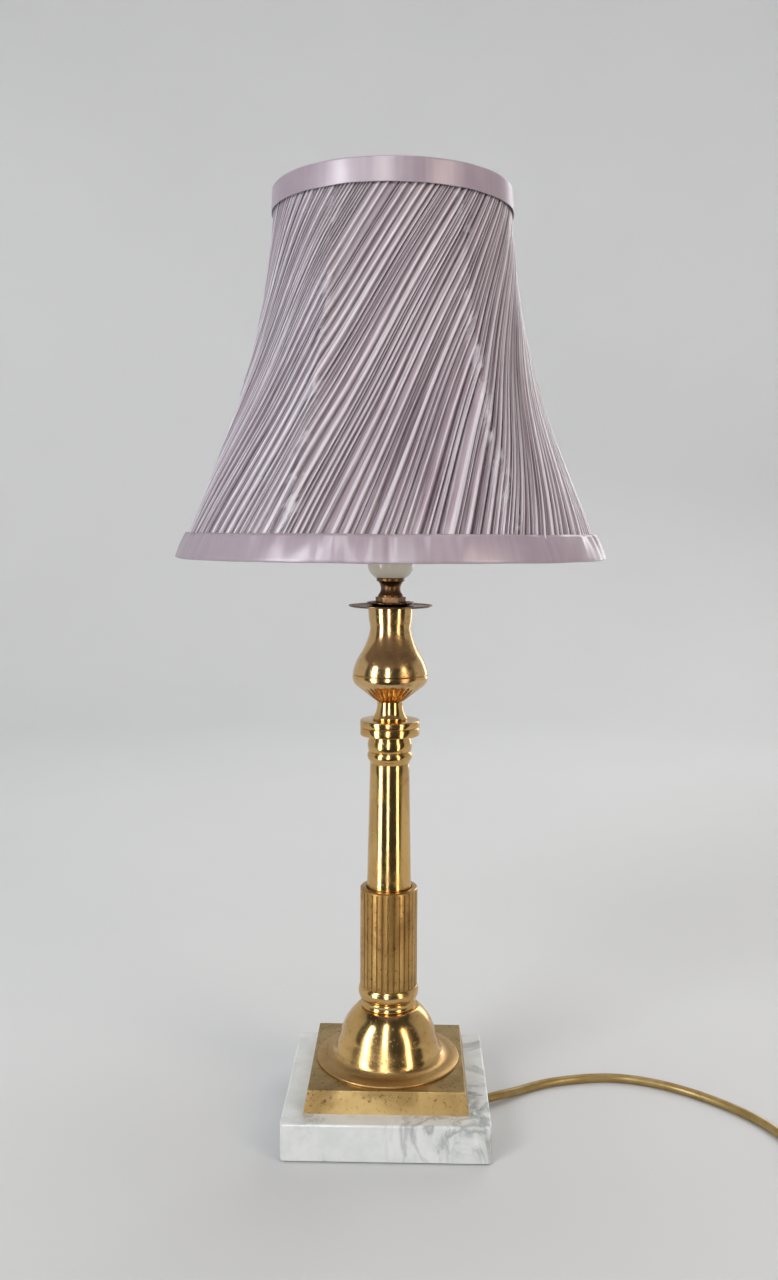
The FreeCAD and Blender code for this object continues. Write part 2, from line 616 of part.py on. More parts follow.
# ---------------------------------------------------------------- collar, cap disc, neck cone
def build_collar():
    first_top = "(collar_foot_height + bead_height)"
    second_foot = f"({first_top} + bead_gap)"
    second_top = f"({second_foot} + upper_bead_height)"
    collar = turned("reeded_collar", [
        (STEM_HOLE, "0"), ("collar_foot_radius - 0.4", "0"), ("collar_foot_radius", "collar_foot_height - 0.6"),
        ("bead_radius", "collar_foot_height"), Bulge("bead_swell"),
        ("bead_radius", first_top), ("bead_radius - 0.3", f"{first_top} + bead_gap / 2"),
        ("bead_radius", second_foot), Bulge("bead_swell"),
        ("bead_radius - 0.4", second_top), ("bead_radius - 0.5", COLLAR_HEIGHT), (STEM_HOLE, COLLAR_HEIGHT)],
        COLLAR_FOOT)
    groove_top = "(disc_groove_level + disc_groove_width)"
    disc = turned("cap_disc", [
        (STEM_HOLE, "0"), ("disc_radius - disc_round", "0"), Bulge("disc_round * 0.29"),
        ("disc_radius", "disc_round"), ("disc_radius", "disc_groove_level"),
        ("disc_radius - disc_groove_depth", "disc_groove_level + disc_groove_width / 2"),
        ("disc_radius", groove_top), ("disc_radius", "disc_height - disc_round"), Bulge("disc_round * 0.29"),
        ("disc_radius - disc_round", "disc_height"), (STEM_HOLE, "disc_height")], DISC_FOOT)
    cone = turned("neck_cone", [
        (STEM_HOLE, "0"), ("cone_foot_radius", "0"), ("cone_foot_radius", "cone_rim_height"),
        Bulge("cone_sag", outward=False),
        ("cone_top_radius", "cone_height - 0.8"), ("cone_top_radius", "cone_height"), (STEM_HOLE, "cone_height")],
        CONE_FOOT)
    return [collar, disc, cone]


# ---------------------------------------------------------------- urn
def build_urn():
    inner_belly = "(urn_belly_radius - urn_wall)"
    urn = turned("urn", [
        (STEM_HOLE, "0"), ("urn_foot_radius", "0"), ("urn_foot_radius + 0.5", "0.6"),
        ("urn_cone_radius", "urn_cone_height"), Bulge("0.75"),
        ("urn_belly_radius", "urn_belly_height"),
        ("urn_belly_radius - urn_line_depth", "urn_belly_height + 0.4"),
        ("urn_belly_radius - 0.05", "urn_belly_height + 0.8"), Bulge("0.8"),
        ("urn_shoulder_radius", "urn_shoulder_height"), Bulge("0.75", outward=False),
        ("urn_neck_radius", "urn_neck_height"), ("urn_neck_radius + 0.3", "urn_step_height"),
        ("urn_neck_radius + 0.3 + urn_step", "urn_step_height + 0.3"),
        ("urn_rim_radius", "urn_height - 3"), ("urn_rim_radius", "urn_height"),
        ("urn_neck_radius - urn_wall", "urn_height"), ("urn_neck_radius - urn_wall", "urn_neck_height"),
        ("urn_shoulder_radius - urn_wall", "urn_shoulder_height"),
        (inner_belly, "urn_belly_height"), ("urn_cone_radius - urn_wall", "urn_cone_height + 1"),
        (f"{STEM_HOLE} + 3", "urn_boss"), (STEM_HOLE, "urn_boss")], URN_FOOT)

    rise = "(urn_cone_height - 0.6)"
    run = "(urn_cone_radius - urn_foot_radius - 0.5)"
    slant = f"sqrt({rise}^2 + {run}^2)"
    gadroon = urn.newObject("PartDesign::SubtractiveCylinder", "gadroon")
    gadroon.Placement = Placement(Vector(), Rotation(Vector(0, 1, 0), 0))
    bind(gadroon, Radius="gadroon_radius", Height=f"{slant} - 1.6")
    gadroon.Placement = Placement(Vector(), Rotation(Vector(0, 1, 0), 45))
    drop = "(gadroon_radius - gadroon_depth)"
    bind(gadroon, Placement__Rotation__Angle=f"atan({run} / {rise})",
         Placement__Base__x=f"urn_foot_radius + 0.5 + {drop} * {rise} / {slant} + 1.2 * {run} / {slant}",
         Placement__Base__z=f"0.6 - {drop} * {run} / {slant} + 1.2 * {rise} / {slant}")
    urn.Tip = gadroon
    around(urn, "gadroons", gadroon, "gadroon_count")
    return [urn]


# ---------------------------------------------------------------- pan, saucer, locknut, spindle
def build_neck():
    pan = turned("drip_pan", [
        (STEM_HOLE, "0"), ("pan_radius - 1.5", "0"), ("pan_radius", "pan_lip"),
        ("pan_radius", "pan_lip + 0.7"), ("pan_radius - 1.6", "pan_thick"), (STEM_HOLE, "pan_thick")], PAN_FOOT)
    saucer = turned("dark_saucer", [
        (STEM_HOLE, "0"), ("saucer_radius - 5", "0"), Bulge("0.2", outward=True),
        ("saucer_radius", "saucer_lip"), ("saucer_radius - 0.2", "saucer_lip + saucer_thick - 0.2"),
        ("saucer_radius - 5.4", "saucer_thick"), (STEM_HOLE, "saucer_thick")], SAUCER_FOOT)
    hole = cylinder("locknut_hole", STEM_HOLE, "locknut_thick + 2", ("0", "0", "-1"))
    locknut = cut("locknut", prism("locknut_prism", "locknut_flats", "locknut_thick"), hole, LOCKNUT_FOOT)
    waist_top = "(spindle_foot_height + spindle_waist_height)"
    spindle = turned("spindle", [
        (STEM_HOLE, "0"), ("spindle_foot_radius - 0.3", "0"), ("spindle_foot_radius", "0.4"),
        ("spindle_foot_radius", "spindle_foot_height - 0.4"), ("spindle_foot_radius - 0.5", "spindle_foot_height"),
        Bulge("(spindle_foot_radius + spindle_top_radius - 1.4) / 2 - spindle_waist_radius", outward=False),
        ("spindle_top_radius - 0.9", waist_top), ("spindle_top_radius", f"{waist_top} + 0.3"),
        ("spindle_top_radius", f"{SPINDLE_HEIGHT} - 0.3"), ("spindle_top_radius - 0.3", SPINDLE_HEIGHT),
        (STEM_HOLE, SPINDLE_HEIGHT)], SPINDLE_FOOT)
    return [pan, saucer, locknut, spindle]


# ---------------------------------------------------------------- lampholder
def build_holder():
    bowl_inner = "(cap_bowl_radius - cap_wall)"
    rim_inner = "(holder_radius - cap_wall)"
    flare_foot = "(cap_bowl_height + 1.6)"
    flare_top = "(cap_rim_height - 2)"
    cap_shell = turned("cap_shell", [
        (STEM_HOLE, "0"), ("cap_foot_radius", "0"), Bulge("cap_swell"),
        ("cap_bowl_radius", "cap_bowl_height"), ("cap_bowl_radius + 0.2", flare_foot),
        Bulge("cap_flare_sag", outward=False), ("holder_radius", flare_top),
        ("holder_radius", "cap_rim_height"), (rim_inner, "cap_rim_height"), (rim_inner, flare_top),
        (bowl_inner, flare_foot), ("cap_foot_radius", "cap_floor"), (STEM_HOLE, "cap_floor")])
    grub_hole = cylinder("grub_hole", "grub_radius + 0.1", "cap_foot_radius + 5",
                         ("0", "0", "grub_level"), Vector(0, 1, 0))
    cap = cut("holder_cap", cap_shell, grub_hole, CAP_FOOT)
    grub = cylinder("grub_screw", "grub_radius", "cap_foot_radius - stem_radius",
                    ("0", "stem_radius", f"{CAP_FOOT} + grub_level"), Vector(0, 1, 0))

    inner = "(holder_radius - holder_wall)"
    skirt_inner = "(skirt_radius - skirt_wall)"
    seat = f"({CARRIER_FOOT} + carrier_flange - {HOLDER_FOOT})"
    housing = turned("holder_shell", [
        (inner, "0"), ("holder_radius", "0"), ("holder_radius", "holder_height - 0.8"),
        ("holder_radius - 0.8", "holder_height"), ("skirt_radius", "holder_height"),
        ("skirt_radius", "holder_height + skirt_height"), (skirt_inner, "holder_height + skirt_height"),
        (skirt_inner, seat), (inner, seat)])
    bar_hole = cylinder("bar_hole", "bar_radius + bar_play", "2 * holder_radius + 2",
                        ("-holder_radius - 1", "0", "bar_level"), Vector(1, 0, 0))
    body = cut("holder_body", housing, bar_hole, HOLDER_FOOT)

    reach = "(holder_radius + bar_proud)"
    rod = cylinder("bar_rod", "bar_radius", f"2 * {reach} - 2", (f"1 - {reach}", "0", "0"), Vector(1, 0, 0))
    left = cylinder("bar_button_left", "button_radius", "button_length - 1",
                    (f"-{reach}", "0", "0"), Vector(1, 0, 0))
    right = cylinder("bar_button_right", "button_radius", "button_length - 1",
                     (f"{reach} - button_length + 1", "0", "0"), Vector(1, 0, 0))
    bar = fuse("switch_bar", rod, left, right)
    bind(bar, Placement__Base__x="-bar_travel / 2 + 0.1", Placement__Base__z=f"{HOLDER_FOOT} + bar_level")

    wide = f"({inner} - carrier_play)"
    narrow = f"({skirt_inner} - carrier_play)"
    disc = turned("carrier_disc", [
        ("0", "0"), (wide, "0"), (wide, "carrier_flange"), (narrow, "carrier_flange"),
        (narrow, "carrier_height"), ("0", "carrier_height")])
    chamber_top = "(carrier_height - plunger_guide)"
    tools = []
    for side, sign in (("live", ""), ("neutral", "-")):
        place = ("0", f"{sign}contact_offset")
        tools.append(cylinder(f"{side}_chamber", "contact_bore", chamber_top, (*place, "0")))
        tools.append(cylinder(f"{side}_guide", "plunger_radius + 0.05", "carrier_height + 2", (*place, "-1")))
    carrier = cut("contact_carrier", disc, fuse("carrier_tools", *tools), CARRIER_FOOT)

    posts, plungers = [], []
    for side, sign in (("live", ""), ("neutral", "-")):
        place = ("0", f"{sign}contact_offset")
        head = cylinder(f"{side}_post_head", "contact_bore - 0.05", "terminal_head", (*place, "0"))
        shank = cylinder(f"{side}_post_shank", "terminal_radius", "terminal_tail", (*place, "-terminal_tail"))
        posts.append(fuse(f"{side}_post", head, shank))
        collar_foot = f"({chamber_top} - plunger_collar)"
        collar = cylinder(f"{side}_collar", "contact_bore - 0.05", "plunger_collar", (*place, collar_foot))
        pin = cylinder(f"{side}_pin", "plunger_radius", "plunger_guide + plunger_tip", (*place, chamber_top))
        plungers.append(fuse(f"{side}_plunger", collar, pin))
    terminals = group("terminals", posts, CARRIER_FOOT)
    contact_plungers = group("contact_plungers", plungers, CARRIER_FOOT)

    barrel_bore = "(bulb_cap_radius + barrel_play)"
    tube = turned("barrel_tube", [
        (barrel_bore, "0"), (f"{barrel_bore} + barrel_wall", "0"),
        (f"{barrel_bore} + barrel_wall", "barrel_height"), (barrel_bore, "barrel_height")])
    slots = []
    slot_foot = "(plunger_tip + bulb_pin_level - slot_height / 2)"
    for index in range(2):
        sector = doc.addObject("Part::Cylinder", f"slot_sector_{index}")
        bind(sector, Radius="skirt_radius", Height="slot_height", Angle="slot_turn + 16",
             Placement__Base__z=slot_foot, Placement__Rotation__Angle=f"{180 * index} - 8")
        entry = box(f"slot_entry_{index}", "skirt_radius", "slot_height", "barrel_height",
                    ("0", "0", slot_foot))
        bind(entry, Placement__Rotation__Angle=f"{180 * index} + slot_turn",
             Placement__Base__x=f"sin({180 * index} + slot_turn) * slot_height / 2",
             Placement__Base__y=f"-cos({180 * index} + slot_turn) * slot_height / 2")
        slots += [sector, entry]
    barrel = cut("bayonet_barrel", tube, fuse("barrel_slots", *slots), BARREL_FOOT)

    grip_body = turned("shade_ring", [
        ("skirt_radius + ring_play", "0"), ("holder_radius", "0"), ("holder_radius", "ring_height - 0.5"),
        ("holder_radius - 0.5", "ring_height"), ("skirt_radius + ring_play", "ring_height")],
        f"{SHOULDER} + fitter_thick + ring_gap")
    notch = circle_sketch(grip_body, "grip_circle", "XY_Plane", "grip_radius", ("holder_radius + 0.5", "0"))
    first = pocket(grip_body, "grip", notch, "ring_height + 1")
    around(grip_body, "grips", first, "ring_grips")
    return [cap, grub, body, bar, carrier, terminals, contact_plungers, barrel, grip_body]


def build_springs():
    """Two plunger springs, each an unbroken coil between its terminal and its plunger's collar."""
    wire = size("spring_wire")
    clearance = size("spring_play")
    height = size("spring_height") - 2 * (wire + clearance)
    radius = size("contact_bore") - wire - size("spring_side_play")
    coil = tube_along(spring_path(radius, height, int(size("spring_turns"))), wire)
    coils = []
    for sign in (1, -1):
        copy = coil.copy()
        copy.translate(Vector(0, sign * size("contact_offset"), size("terminal_head") + wire + clearance))
        coils.append(copy)
    place = Placement(Vector(0, 0, size(CARRIER_FOOT)), Rotation())
    return [made("plunger_springs", Part.makeCompound(coils), place)]


def spring_path(radius, height, turns):
    """The centre line of a compression spring, in quarter turns."""
    quarters = 4 * turns
    climb = height / (quarters * math.pi / 2)

    def place(angle):
        return polar(radius, angle, climb * angle)

    def way(angle):
        return Vector(-radius * math.sin(angle), radius * math.cos(angle), climb).normalize()

    edges = []
    for index in range(quarters):
        low, high = index * math.pi / 2, (index + 1) * math.pi / 2
        edges += biarc(place(low), way(low), place(high), way(high))
    return Part.Wire(edges)


# ---------------------------------------------------------------- bulb
def build_bulb():
    shell = turned("bulb_cap", [
        ("0", "bulb_pad_height"), ("bulb_cap_radius - 1.5", "bulb_pad_height"),
        ("bulb_cap_radius", "bulb_pad_height + 1.5"), ("bulb_cap_radius", "bulb_cap_height"),
        ("bulb_cap_radius - bulb_cap_wall", "bulb_cap_height"),
        ("bulb_cap_radius - bulb_cap_wall", "bulb_pin_level + bulb_pin_radius + 2"),
        ("0", "bulb_pin_level + bulb_pin_radius + 2")], BULB_FOOT)
    pads, pins = [], []
    for index, sign in enumerate(("", "-")):
        pads.append(cylinder(f"pad_{index}", "bulb_pad_radius", "bulb_pad_height",
                             ("0", f"{sign}contact_offset", "0")))
        pins.append(cylinder(f"pin_{index}", "bulb_pin_radius", "bulb_pin_reach - bulb_cap_radius - 0.02",
                             (f"{sign}(bulb_cap_radius + 0.02)", "0", "bulb_pin_level"),
                             Vector(-1 if sign else 1, 0, 0)))
    contacts = group("bulb_contacts", pads, BULB_FOOT)
    bayonet_pins = group("bulb_pins", pins, BULB_FOOT)

    neck_foot = "(bulb_cap_height - 2)"
    neck_top = "(bulb_cap_height + 4)"
    centre = "(bulb_length - bulb_radius)"
    drop = f"({centre} - {neck_top})"
    lean = (f"(acos(bulb_radius / sqrt(bulb_neck_radius^2 + {drop}^2))"
            f" + atan(bulb_neck_radius / {drop}))")
    inner = "(bulb_radius - bulb_glass_wall)"
    inner_neck = "(bulb_neck_radius - bulb_glass_wall)"
    inner_lean = (f"(acos({inner} / sqrt({inner_neck}^2 + {drop}^2))"
                  f" + atan({inner_neck} / {drop}))")
    glass = turned("bulb_glass", [
        (inner_neck, neck_foot), ("bulb_neck_radius", neck_foot), ("bulb_neck_radius", neck_top),
        (f"bulb_radius * sin({lean})", f"{centre} - bulb_radius * cos({lean})"), Round("bulb_radius"),
        ("bulb_radius", centre), Round("bulb_radius"), ("0", "bulb_length"),
        ("0", "bulb_length - bulb_glass_wall"), Round(inner), (inner, centre), Round(inner),
        (f"{inner} * sin({inner_lean})", f"{centre} - {inner} * cos({inner_lean})"),
        (inner_neck, neck_top)], BULB_FOOT)
    mount_foot = "(bulb_pin_level + bulb_pin_radius + 2)"
    mount = turned("bulb_mount", [
        ("0", mount_foot), ("mount_radius + 3.5", mount_foot), ("mount_radius", f"{mount_foot} + 9"),
        ("mount_radius", f"{mount_foot} + mount_height"), ("0", f"{mount_foot} + mount_height")], BULB_FOOT)

    foot = size(f"{mount_foot} + mount_height")
    rise = size("filament_rise")
    span = size("filament_span")
    inset = size("mount_radius") / 2
    points = [Vector(0, -inset, foot), Vector(0, -inset, foot + rise / 3), Vector(0, -span, foot + rise),
              Vector(0, -span / 3, foot + rise + 4), Vector(0, span / 3, foot + rise + 4),
              Vector(0, span, foot + rise), Vector(0, inset, foot + rise / 3), Vector(0, inset, foot)]
    wire = bent_wire(points, corner_radii(points, 0.3))
    filament = made("bulb_filament", tube_along(wire, size("filament_radius")),
                    Placement(Vector(0, 0, size(BULB_FOOT)), Rotation()))
    return [shell, contacts, bayonet_pins, glass, mount, filament]


# ---------------------------------------------------------------- shade
def shade_radius(level):
    """The cover's outer radius over a strut, at a height above the shade's foot."""
    drop = size("shade_height") - level
    start = math.radians(size("shade_top_angle"))
    end = math.radians(size("shade_flare_angle"))
    arc_drop = size("shade_arc_drop")
    arc_radius = arc_drop / (math.sin(end) - math.sin(start))
    if drop <= arc_drop:
        angle = math.asin(math.sin(start) + drop / arc_radius)
        return size("shade_top_radius") + arc_radius * (math.cos(start) - math.cos(angle))
    arc_spread = arc_radius * (math.cos(start) - math.cos(end))
    return size("shade_top_radius") + arc_spread + (drop - arc_drop) * math.tan(end)


def strut_azimuths():
    count = int(size("strut_count"))
    return [math.radians(size("strut_turn") + 360 * index / count) for index in range(count)]


def polar(radius, azimuth, level):
    return Vector(radius * math.cos(azimuth), radius * math.sin(azimuth), level)


def faced_section(inset, level):
    """A horizontal section of the taut cloth: an arc from each strut to the next, flatter at mid-height."""
    share = level / size("shade_height")
    dip = size("face_dip") * math.sin(math.pi * share) ** 2
    radius = shade_radius(level) - inset
    half_face = math.pi / size("strut_count")
    arcs = []
    for azimuth in strut_azimuths():
        arcs.append(Part.Arc(polar(radius, azimuth, level),
                             polar(radius * (1 - dip), azimuth + half_face, level),
                             polar(radius, azimuth + 2 * half_face, level)).toShape())
    return Part.Wire(arcs)


def cloth_shell(outside, thickness, foot, top, sections=10):
    """A shell of cloth between two heights, its faces sagging a little between the struts."""
    levels = [foot + (top - foot) * index / sections for index in range(sections + 1)]
    outer = Part.makeLoft([faced_section(outside, level) for level in levels], True)
    core = [faced_section(outside + thickness, level) for level in levels]
    core[0].translate(Vector(0, 0, -1))
    core[-1].translate(Vector(0, 0, 1))
    return outer.cut(Part.makeLoft(core, True))


def build_shade():
    foot = size(SHADE_FOOT)
    place = Placement(Vector(0, 0, foot), Rotation())
    height = size("shade_height")
    cover_thick = size("cover_thick")
    gap = size("frame_gap")
    trim_thick = size("trim_thick")
    end_gap = trim_thick + size("trim_gap")
    pieces = []

    ring_radii, ring_levels = [], []
    for label, wire_name, at_top in (("shade_top_ring", "top_wire", True),
                                     ("shade_bottom_ring", "bottom_wire", False)):
        wire = size(wire_name)
        level = height - end_gap - wire if at_top else end_gap + wire
        ring_levels.append(level)
        ring_radii.append(shade_radius(level) - cover_thick - gap - wire)
        ring = doc.addObject("Part::Torus", label)
        ring.Label = label
        bind(ring, Radius1=f"{ring_radii[-1]}", Radius2=wire_name)
        ring.Placement = Placement(Vector(0, 0, foot + level), Rotation())
        pieces.append(ring)
    top_level, bottom_level = ring_levels

    strut_wire = size("strut_wire")
    inset = cover_thick + gap + strut_wire
    strut_foot = bottom_level + size("bottom_wire") + 0.3
    strut_top = top_level - size("top_wire") - 0.1
    bend_level = height - size("shade_arc_drop")
    middle_level = (bend_level + strut_top) / 2
    start, bend, middle, end = (Vector(shade_radius(level) - inset, 0, level)
                                for level in (strut_foot, bend_level, middle_level, strut_top))
    path = Part.Wire([Part.LineSegment(start, bend).toShape(), Part.Arc(bend, middle, end).toShape()])
    strut = tube_along(path, strut_wire)
    for index, azimuth in enumerate(strut_azimuths(), start=1):
        turn = Rotation(Vector(0, 0, 1), math.degrees(azimuth))
        pieces.append(made(f"shade_strut_{index}", strut, Placement(Vector(0, 0, foot), turn)))

    fitter_level = size(f"{SHOULDER} - {SHADE_FOOT}")
    fitter_bore = "(skirt_radius + fitter_play)"
    fitter = turned("fitter_ring", [
        (fitter_bore, "0"), (f"{fitter_bore} + fitter_rim", "0"),
        (f"{fitter_bore} + fitter_rim", "fitter_thick"), (fitter_bore, "fitter_thick")], SHOULDER)
    rim_radius = size(f"{fitter_bore} + fitter_rim")
    arm_wire = size("arm_wire")
    arm_level = fitter_level + size("fitter_thick") / 2
    arm_end = Vector(ring_radii[1] - size("bottom_wire") - 0.15, 0, bottom_level + 0.4)
    knee = Vector(rim_radius + size("arm_run"), 0, arm_level)
    arm_points = [Vector(rim_radius + 0.05, 0, arm_level), knee, arm_end]
    arm_path = bent_wire(arm_points, [4 * arm_wire])
    arm = tube_along(arm_path, arm_wire)
    sleeve_hole = tube_along(arm_path, arm_wire + gap)
    arms, holes = [], []
    count = int(size("arm_count"))
    for index in range(count):
        azimuth = size("strut_turn") + 360 / size("strut_count") + 360 * index / count
        for source, target in ((arm, arms), (sleeve_hole, holes)):
            copy = source.copy()
            copy.rotate(Vector(), Vector(0, 0, 1), azimuth)
            target.append(copy)
    pieces += [fitter, made("fitter_arms", Part.makeCompound(arms), place)]

    cover = cloth_shell(0, cover_thick, end_gap, height - end_gap)
    pieces.append(made("shade_cover", cover, place))
    lining_inset = cover_thick + 2 * gap + 2 * size("bottom_wire") + size("lining_gap")
    lining = cloth_shell(lining_inset, size("lining_thick"), end_gap, height - end_gap)
    pieces.append(made("shade_lining", lining.cut(Part.makeCompound(holes)), place))

    inner_inset = lining_inset + size("lining_thick") + gap
    pieces.append(made("top_trim", trim_shape(
        height, -1, size("top_trim_height"), size("trim_gap") + trim_thick, inner_inset), place))
    bottom = bottom_trim_shape(inner_inset).cut(Part.makeCompound(holes))
    pieces.append(made("bottom_trim", bottom, place))
    return pieces


def trim_shape(edge, inward, depth, outset, inner_inset):
    """A satin band folded over the top edge of the shade: outside strip, edge, and turned-in strip."""
    thick = size("trim_thick")
    far = edge + inward * depth
    turn_in = edge + inward * size("trim_turn_in")
    outer_far = shade_radius(far) + outset
    outer_near = shade_radius(edge) + outset + 0.5
    inner_near = shade_radius(edge) - inner_inset
    corner = 0.5
    points = [
        (outer_far - thick, far), (outer_far, far), (outer_near, edge + inward * corner),
        (outer_near - corner, edge), (inner_near - thick + corner, edge),
        (inner_near - thick, edge + inward * corner),
        (inner_near - thick, turn_in), (inner_near, turn_in), (inner_near, edge + inward * thick),
        (outer_near - thick, edge + inward * thick)]
    return turned_shape(points)


def bottom_trim_shape(inner_inset):
    """The band at the foot, which leans out further than the cloth above it."""
    thick = size("trim_thick")
    far = size("bottom_trim_height")
    turn_in = size("trim_turn_in")
    outer_near = shade_radius(0) + size("bottom_trim_proud")
    outer_far = shade_radius(far) + size("bottom_trim_clear") + thick
    inner_near = shade_radius(thick) - inner_inset
    inner_far = shade_radius(turn_in) - inner_inset
    corner = 0.6
    points = [
        (outer_far - thick, far), (outer_far, far), (outer_near, corner), (outer_near - corner, 0),
        (inner_near - thick + corner, 0), (inner_near - thick, corner), (inner_far - thick, turn_in),
        (inner_far, turn_in), (inner_near, thick), (outer_near - thick, thick)]
    return turned_shape(points)


def turned_shape(points):
    """A solid turned about Z from a closed polygon of (radius, height)."""
    corners = [Vector(radius, 0, level) for radius, level in points]
    outline = Part.makePolygon(corners + corners[:1])
    return Part.Face(outline).revolve(Vector(), Vector(0, 0, 1), 360)


# ---------------------------------------------------------------- flex inside the lamp
def exit_frame(distance):
    """A point on the exit channel's centre line, at a distance outside the marble's face."""
    angle = math.radians(size("exit_angle"))
    return Vector(size("marble_side") / 2 + distance * math.cos(angle),
                  size("exit_offset") + distance * math.sin(angle), size("exit_height"))


def build_inner_flex():
    level = size("exit_height")
    angle = math.radians(size("exit_angle"))
    corner = Vector(size("marble_side") / 2 - size("exit_offset") / math.tan(angle), 0, level)
    tail_end = size("tail_end")
    start = exit_frame(size("grommet_proud"))
    tail_wire = bent_wire([start, corner, Vector(tail_end, 0, level)], [size("tail_bend")])
    tail = made("lead_tail", tube_along(tail_wire, size(CORD_RADIUS)))

    side = size("core_side")
    rise = size("core_rise")
    bend = size("core_bend")
    core = size("core_radius")
    post = size("contact_offset")
    stem_top = size(f"{CAP_FOOT} + stem_entry")
    post_foot = size(f"{CARRIER_FOOT} - terminal_tail")
    run = post_foot - stem_top
    cores = []
    for sign in (1, -1):
        points = [Vector(tail_end, sign * side, level + rise), Vector(-rise, sign * side, level + rise),
                  Vector(-rise, sign * side, stem_top + run * 0.1),
                  Vector(0, sign * post, post_foot - run * 0.35), Vector(0, sign * post, post_foot)]
        cores.append(tube_along(bent_wire(points, [bend - rise, 4.0, 4.0]), core))
    supply = made("supply_cores", Part.makeCompound(cores))

    tag_foot = size(f"{WELL_TOP} - washer_thick - tag_thick")
    reach = size("tag_reach") - core - 0.6
    earth_level = level - 2 * rise
    points = [Vector(tail_end, 0, earth_level), Vector(-reach, 0, earth_level), Vector(-reach, 0, tag_foot)]
    earth = made("earth_core", tube_along(bent_wire(points, [bend]), core))
    return [tail, supply, earth]


# ---------------------------------------------------------------- free flex, coil and plug
# Points of the flex on the table, chosen along its run in the picture and on to the coil.
FLEX_ROUTE = [
    (76.5, 14.3, 5.0), (87.5, 21.6, 3.8), (99.5, 30.2, 3.2), (113.0, 37.2, 3.15), (127.0, 41.6, 3.15),
    (142.0, 44.9, 3.15), (157.0, 46.4, 3.15), (172.0, 44.4, 3.15), (187.0, 39.4, 3.15), (201.5, 32.0, 3.15),
    (215.0, 22.6, 3.15), (228.0, 11.2, 3.15), (239.5, -1.0, 3.15), (249.0, -14.6, 3.15), (256.0, -29.5, 3.15),
    (261.0, -45.0, 3.15), (263.2, -60.5, 3.15)]
FLEX_END = Vector(263.2, -74.0, 3.15)


def build_free_flex():
    radius = size(CORD_RADIUS)
    start = exit_frame(size("grommet_proud"))
    points = [start] + [Vector(*point) for point in FLEX_ROUTE] + [FLEX_END]
    radii = corner_radii(points)
    wire = bent_wire(points, radii)
    lead = tube_along(wire, radius)
    print("free flex: length %.1f, volume ratio %.4f" % (
        wire.Length, lead.Volume / (math.pi * radius ** 2 * wire.Length)))
    print("free flex: radii", [round(value, 1) for value in radii])
    coil_wire = coil_path()
    coil = tube_along(coil_wire, radius)
    print("coil: length %.1f, volume ratio %.4f, least gap %.2f" % (
        coil_wire.Length, coil.Volume / (math.pi * radius ** 2 * coil_wire.Length), least_gap(coil_wire)))
    print("whole flex outside: %.1f" % (wire.Length + coil_wire.Length))
    return [made("flex_lead", lead), made("flex_coil", coil)] + build_plug(coil_wire)


def biarc(start, start_way, end, end_way):
    """Two arcs that leave a point one way and reach another point another way, without a corner."""
    across = end - start
    ways = start_way + end_way
    bend = 2 * (1 - start_way.dot(end_way))
    reach = (-across.dot(ways) + math.sqrt(across.dot(ways) ** 2 + bend * across.dot(across))) / bend
    joint = (start + end + (start_way - end_way) * reach) * 0.5
    return [arc_leaving(start, start_way, joint), arc_leaving(end, end_way * -1, joint, backwards=True)]


def arc_leaving(start, way, end, backwards=False):
    """The arc that leaves start along way and ends at end."""
    chord = end - start
    across = (chord - way * chord.dot(way)).normalize()
    radius = chord.dot(chord) / (2 * chord.dot(across))
    centre = start + across * radius
    outward = (start - centre) + (end - centre)
    middle = centre + outward.normalize() * radius
    if backwards:
        return Part.Arc(end, middle, start).toShape()
    return Part.Arc(start, middle, end).toShape()


def coil_path():
    """The put-away length: in along the lower layer, up in half a turn, and out along the upper."""
    quarters = int(size("coil_quarters"))
    pitch = size("coil_pitch")
    layer = size("coil_layer")
    total = quarters * math.pi / 2
    spread = pitch * total / 2 / (2 * math.pi)
    outer = size("coil_radius") + spread / 2
    centre = FLEX_END + Vector(outer, -size("cord_diameter"), 0)
    turn_back = total / 2

    def place(angle):
        radius = outer - pitch * (turn_back - abs(angle - turn_back)) / (2 * math.pi)
        climb = min(max((angle - turn_back) / math.pi + 0.5, 0.0), 1.0)
        lift = layer * (1 - math.cos(math.pi * climb)) / 2
        return centre + polar(radius, math.pi + angle, lift)

    def way(angle):
        if angle == 0 or angle == total:
            return Vector(-math.sin(math.pi + angle), math.cos(math.pi + angle), 0)
        step = 0.01
        return (place(angle + step) - place(angle - step)).normalize()

    straight = size("cord_diameter")
    first = place(0)
    last = place(total)
    edges = [Part.LineSegment(first - way(0) * straight, first).toShape()]
    for index in range(quarters):
        low, high = index * math.pi / 2, (index + 1) * math.pi / 2
        edges += biarc(place(low), way(low), place(high), way(high))
    edges.append(Part.LineSegment(last, last + way(total) * straight).toShape())
    return Part.Wire(edges)


def least_gap(wire):
    """The smallest space between the coil's turns, measured on points along its centre line."""
    points = wire.discretize(900)
    apart = int(900 * size("coil_radius") * 2 / wire.Length)
    nearest = min(points[low].distanceToPoint(points[high])
                  for low in range(len(points)) for high in range(low + apart, len(points)))
    return nearest - size("cord_diameter")


